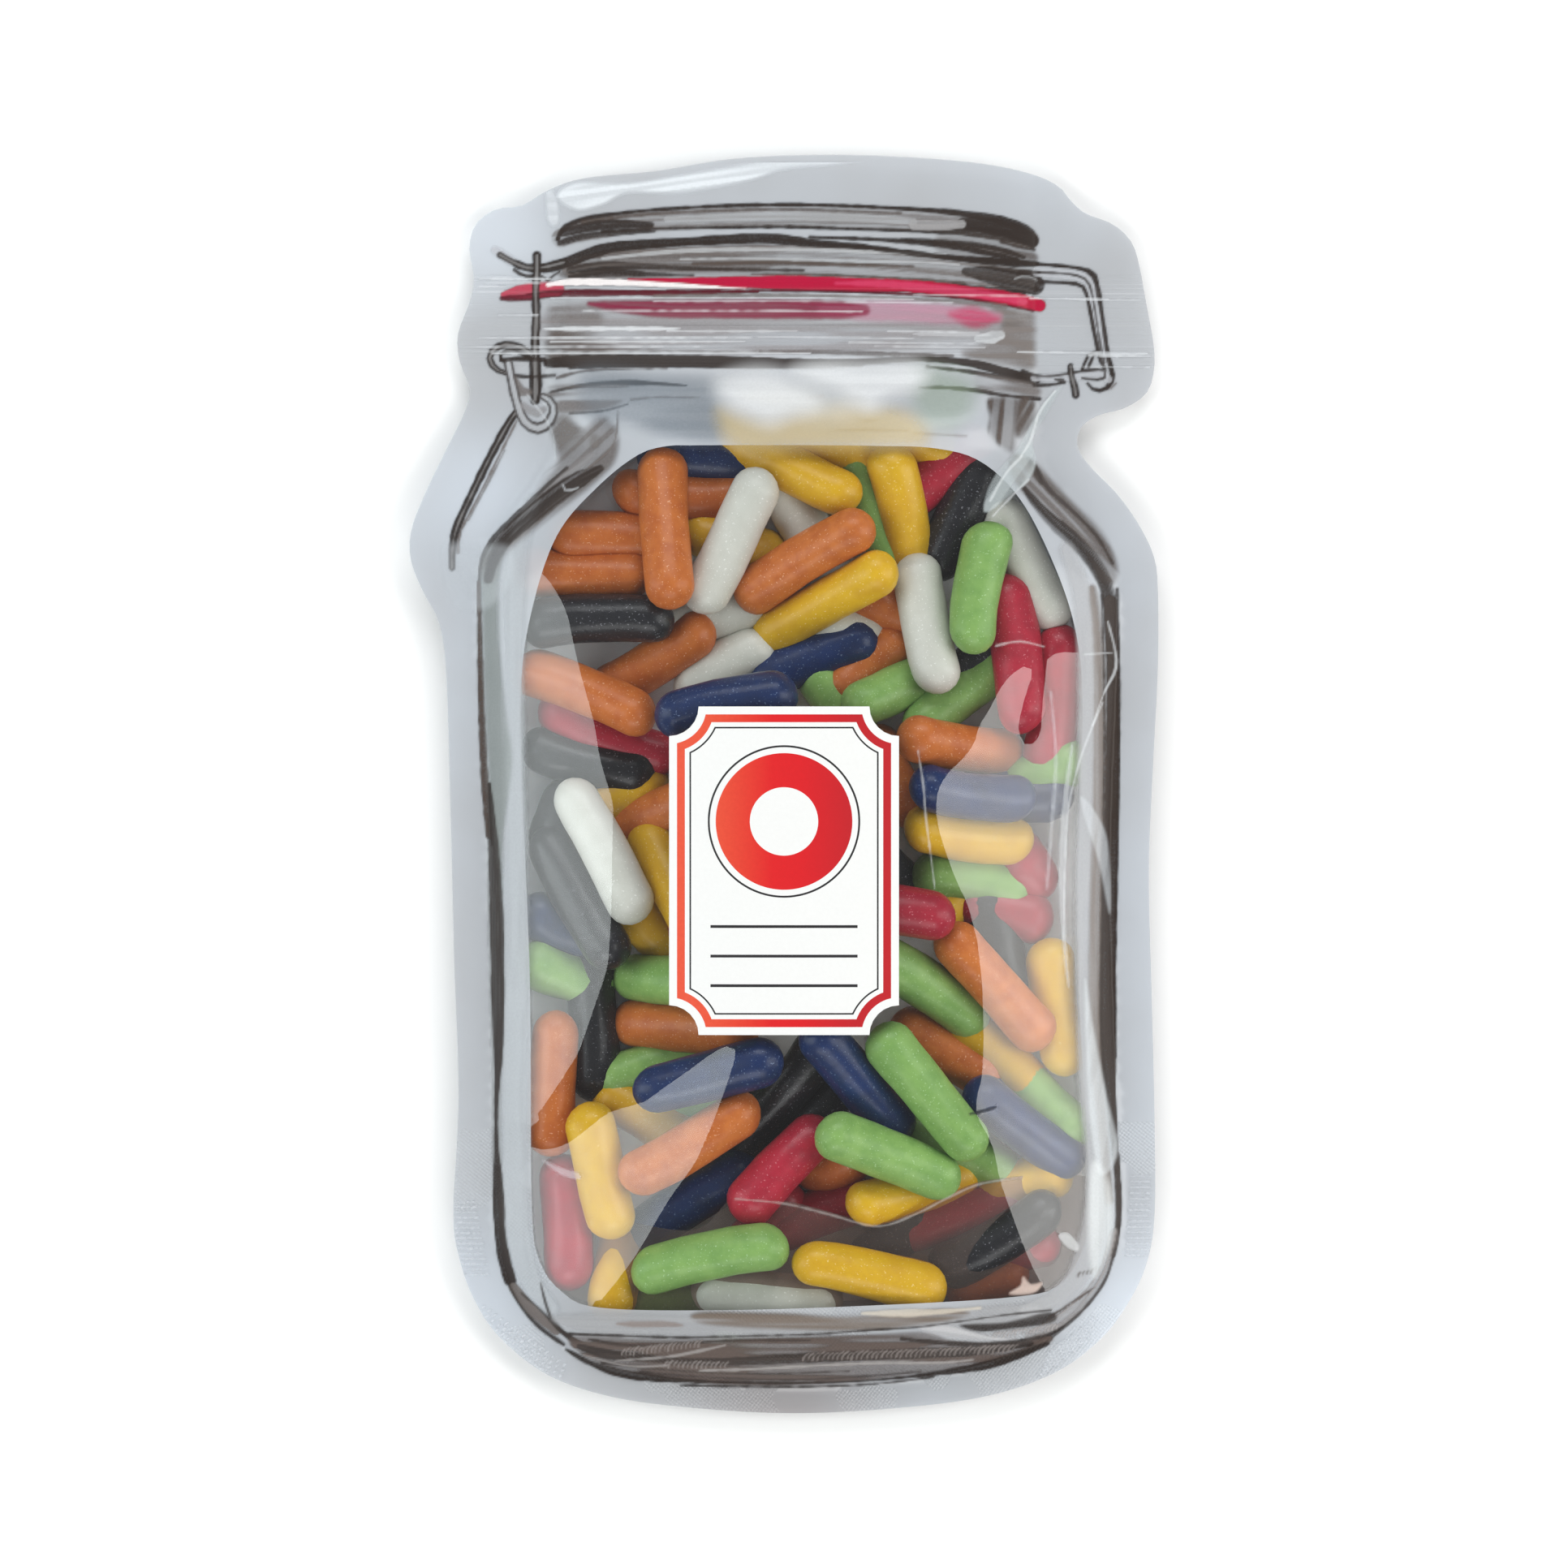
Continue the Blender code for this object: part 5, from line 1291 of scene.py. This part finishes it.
# colour: coating, deeper tone, specks, roughness, mottling and pitting
SWEET_LOOKS = {
    "orange": (srgb(204, 116, 50), srgb(176, 87, 30), srgb(240, 190, 150), 0.30, 0.75, 0.5),
    "yellow": (srgb(223, 177, 28), srgb(198, 145, 12), srgb(250, 232, 160), 0.28, 0.45, 0.4),
    "white": (srgb(211, 211, 202), srgb(193, 193, 183), srgb(250, 250, 246), 0.28, 0.5, 0.3),
    "navy": (srgb(20, 46, 96), srgb(10, 26, 58), srgb(120, 140, 175), 0.24, 0.5, 0.5),
    "green": (srgb(142, 182, 100), srgb(106, 150, 74), srgb(190, 225, 170), 0.30, 0.6, 0.4),
    "crimson": (srgb(180, 36, 58), srgb(136, 20, 40), srgb(225, 140, 150), 0.26, 0.5, 0.4),
    "black": (srgb(33, 33, 38), srgb(20, 20, 23), srgb(150, 150, 158), 0.22, 0.5, 0.9),
}


def listed_sweets():
    """The listed sticks, uppermost first, each nudged inwards until it has room."""
    seen = [(rank, k, colour, entry)
            for colour, rows in SWEETS.items() for k, (*entry, rank) in enumerate(rows)]
    seen.sort(key=lambda item: (item[0], item[1]))
    kept = []
    for _, _, colour, (x, y, bearing, length) in seen:
        for _ in range(NUDGES):
            if room(x, y, bearing, length) > 0:
                break
            x, y = x - NUDGE_X * math.copysign(1, x - 3), y - NUDGE_Y * math.copysign(1, y + 10)
        kept.append((colour, settle(x, y, bearing, length, [axis for _, axis in kept])[0]))
    return kept


def add_random_sweets(kept, rng):
    """Sticks at random where there is still room for them."""
    names, hung = list(SWEETS), 0
    for tries in range(TRIES):
        x, y = rng.uniform(-43, 49), rng.uniform(-86, 56)
        bearing, length = rng.uniform(0, 180), rng.uniform(20, 25)
        ends = np.column_stack(points_along(x, y, bearing, np.array([-1, 0, 1]) * (length / 2 - 1)))
        if not inside(*ends.T, CHAMBER).all() or distance(*ends.T, CHAMBER).min() < 4.5:
            continue
        placed = [axis for _, axis in kept]
        if hung < MOST_HUNG and tries < HUNG_TRIES:
            axis, short = settle(x, y, bearing, length, placed)
            fits = short < 0.6 and axis[:, 2].max() < HIGHEST_HUNG
        else:
            axis = lying(x, y, bearing, length)
            gaps = np.linalg.norm(axis[:, None] - np.vstack(placed)[None], axis=2)
            fits = gaps.min() > 1.86 * RADIUS and (axis[:, 2] < ceiling(axis[:, 0], axis[:, 1])).all()
        if fits:
            kept.append((names[rng.integers(len(names))], axis))
            hung += 1


def make_sweets():
    rng = np.random.default_rng(SEED)
    kept = listed_sweets()
    add_random_sweets(kept, rng)
    for colour in SWEETS:
        verts, own = [], []
        for axis in (axis for name, axis in kept if name == colour):
            v = sweet_mesh(axis[0], axis[-1], RADIUS * rng.uniform(0.95, 1.0), rng)
            low, high = film_bottom(v[:, 0], v[:, 1]) + 0.35, film_top(v[:, 0], v[:, 1]) - 0.45
            v[:, 2] = np.clip(v[:, 2], low, high)
            verts.append(v)
            own.append(np.full(len(v), rng.uniform(0, 1)))
        material = sweet_material(colour, *SWEET_LOOKS[colour])
        obj = add_piece("sweets_" + colour, np.vstack(verts), sweet_faces(len(verts)), material)
        layer = obj.data.attributes.new("own", "FLOAT", "POINT")
        layer.data.foreach_set("value", np.concatenate(own).astype(np.float32))


# Gusset
def make_gusset():
    """The folded leaf of film at the base, behind the uppermost sweets."""
    edge = curve_through([
        (-36, -62), (-28, -66), (-14, -68.4), (-7.4, -63.1), (0, -63.8), (5, -65), (14.2, -67.3), (20, -65.5),
        (25, -63), (30, -61), (36, -60.3), (41, -59.8), (46.5, -60.5)], closed=False)
    edge = spaced(edge, 1.6, closed=False)
    rows, across = [], 14
    for x, y in edge:
        bottom = -88.5 + 0.0022 * (x - 3) ** 2 * 1.6
        for k in range(across + 1):
            t = k / across
            yy = y + (bottom - y) * t
            deep = 8.6 * (1 - 0.55 * t) + 0.5 * math.sin(x / 6 + 5 * t)
            z = max(float(film_top(x, yy)) - deep, float(film_bottom(x, yy)) + 0.8)
            rows.append((x, yy, min(z, float(film_top(x, yy)) - 0.5)))
    faces = []
    for i in range(len(edge) - 1):
        for k in range(across):
            a = i * (across + 1) + k
            faces.append((a, a + 1, a + across + 2, a + across + 1))
    n = Nodes("film_gusset")
    haze = n.noise(n.where(), 90.0, 3.0)
    tint = n.add("ShaderNodeBsdfTransparent", Color=(0.74, 0.64, 0.61, 1))
    colour = n.mix(haze, srgb(120, 104, 98), srgb(150, 136, 130))
    shader = n.add("ShaderNodeBsdfPrincipled", Roughness=0.3, Base_Color=colour)
    fac = n.math("ADD", 0.12, n.math("MULTIPLY", haze, 0.16))
    add_piece("film_gusset", rows, faces, n.finish_over(fac, tint, shader))


# Label and zip
LABEL_HALF_WIDTH, LABEL_HALF_LENGTH, LABEL_MIDDLE = 0.0175, 0.025, -0.0132
RING_MIDDLE, WRITING_LINES, WRITING_REACH = 0.0075, (-0.0085, -0.0130, -0.0175), 0.0112


def label_material():
    """White paper with a red border, a red ring and dark writing lines, from the label's sizes."""
    n = Nodes("label_face")
    where = n.where()
    parts = n.add("ShaderNodeSeparateXYZ", i0=where)
    raw_x, raw_y = parts.outputs[0], n.math("ADD", parts.outputs[1], -LABEL_MIDDLE)
    x = n.math("ABSOLUTE", raw_x)
    side = n.math("SUBTRACT", LABEL_HALF_WIDTH, x)
    end = n.math("SUBTRACT", LABEL_HALF_LENGTH, n.math("ABSOLUTE", raw_y))
    corner = n.math("SUBTRACT", n.hypot(side, end), 0.0045)
    edge = n.math("MINIMUM", n.math("MINIMUM", side, end), corner)
    ring = n.hypot(raw_x, n.math("SUBTRACT", raw_y, RING_MIDDLE))
    border, thin = n.between(edge, 0.0012, 0.0024), n.between(edge, 0.0031, 0.00335)
    disc, hair = n.between(ring, 0.0052, 0.0104), n.between(ring, 0.0113, 0.0116)
    lines = None
    for at in WRITING_LINES:
        away = n.math("ABSOLUTE", n.math("SUBTRACT", raw_y, at))
        one = n.math("MULTIPLY", n.between(away, -1.0, 0.00022), n.math("LESS_THAN", x, WRITING_REACH))
        lines = one if lines is None else n.math("MAXIMUM", lines, one)
    fibre = n.noise(where, 1800.0, 3.0)
    paper = n.mix(n.math("MULTIPLY", fibre, 0.5), srgb(233, 233, 232), srgb(222, 222, 220))
    red = n.ramp(n.math("MULTIPLY_ADD", raw_x, 45.0, 0.5), [
        (0.0, srgb(226, 84, 54)), (0.42, srgb(216, 26, 30)), (0.62, srgb(212, 22, 30)),
        (1.0, srgb(182, 24, 34))])
    red = n.mix(n.math("MULTIPLY", fibre, 0.3), red, srgb(176, 18, 24))
    shade = n.mix(n.math("MAXIMUM", border, disc), paper, red)
    dark = n.math("MAXIMUM", n.math("MAXIMUM", thin, hair), lines)
    shade = n.mix(dark, shade, srgb(38, 36, 38))
    bump = n.bump(fibre, 0.15, 0.0001)
    return n.finish(n.add("ShaderNodeBsdfPrincipled", Roughness=0.38, Base_Color=shade, Normal=bump))


def zip_material():
    n = Nodes("zip_track")
    drawn = n.noise(n.scaled(n.where(), 15, 1800, 400), 1.0, 2.0)
    colour = n.mix(drawn, srgb(206, 210, 218), srgb(232, 235, 240))
    bump = n.bump(drawn, 0.4, 0.0001)
    shader = n.add("ShaderNodeBsdfPrincipled", Roughness=0.32, Base_Color=colour, Normal=bump)
    return n.finish_over(0.55, n.add("ShaderNodeBsdfTransparent", Color=(0.95, 0.96, 0.97, 1)), shader)


def dress(node, made):
    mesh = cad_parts[node].data
    mesh.materials.clear()
    mesh.materials.append(made)


# Studio
FLOOR_REACH, FLOOR_LEVEL = 3.0, -0.0002


def make_floor():
    n = Nodes("floor")
    colour = n.mix(n.noise(n.where(), 8.0, 2.0), srgb(250, 250, 250), srgb(253, 253, 253))
    mesh = bpy.data.meshes.new("floor")
    corners = ((-1, -1), (1, -1), (1, 1), (-1, 1))
    verts = [(x * FLOOR_REACH, y * FLOOR_REACH, FLOOR_LEVEL) for x, y in corners]
    mesh.from_pydata(verts, [], [(0, 1, 2, 3)])
    mesh.materials.append(n.finish(n.add("ShaderNodeBsdfPrincipled", Roughness=0.9, Base_Color=colour)))
    floor = bpy.data.objects.new("floor", mesh)
    bpy.context.scene.collection.objects.link(floor)


def softbox(name, at, width, height, power, colour):
    """A rectangular light that faces the pouch."""
    light = bpy.data.lights.new(name, "AREA")
    light.shape = "RECTANGLE"
    light.size, light.size_y = width, height
    light.energy = power
    light.color = colour
    obj = bpy.data.objects.new(name, light)
    obj.location = at
    obj.rotation_mode = "QUATERNION"
    obj.rotation_quaternion = Vector(at).to_track_quat("Z", "Y")
    bpy.context.scene.collection.objects.link(obj)


SENSOR, CAMERA_HEIGHT, NEAREST_POINT, VIEW_WIDTH = 36, 1.5, 1.495, 0.2415


def make_studio():
    scene = bpy.context.scene
    world = bpy.data.worlds.new("studio")
    world.use_nodes = True
    background = world.node_tree.nodes["Background"].inputs
    background["Color"].default_value = (0.98, 0.99, 1.0, 1)
    background["Strength"].default_value = 0.25
    scene.world = world
    softbox("left_light", (-1.12, 0.0, 0.60), 0.7, 1.5, 10, (0.93, 1.0, 1.0))
    softbox("right_light", (1.12, 0.0, 0.60), 0.7, 1.5, 11.5, (1.0, 1.0, 0.97))
    softbox("far_light", (0.0, 1.02, 0.86), 1.1, 0.55, 9, (0.98, 0.99, 1.0))
    softbox("near_light", (0.0, -1.02, 0.86), 1.1, 0.55, 7.5, (1.0, 0.99, 0.97))
    scene.view_settings.view_transform = "Standard"
    camera = bpy.data.cameras.new("camera")
    camera.sensor_width = SENSOR
    camera.lens = SENSOR * NEAREST_POINT / VIEW_WIDTH
    camera.clip_start, camera.clip_end = 0.05, 20
    obj = bpy.data.objects.new("camera", camera)
    obj.location = (0, 0, CAMERA_HEIGHT)
    scene.collection.objects.link(obj)
    scene.camera = obj


make_films()
make_print()
make_sweets()
make_gusset()
dress("label", label_material())
dress("zip_channel", zip_material())
dress("zip_rib", zip_material())
make_floor()
make_studio()
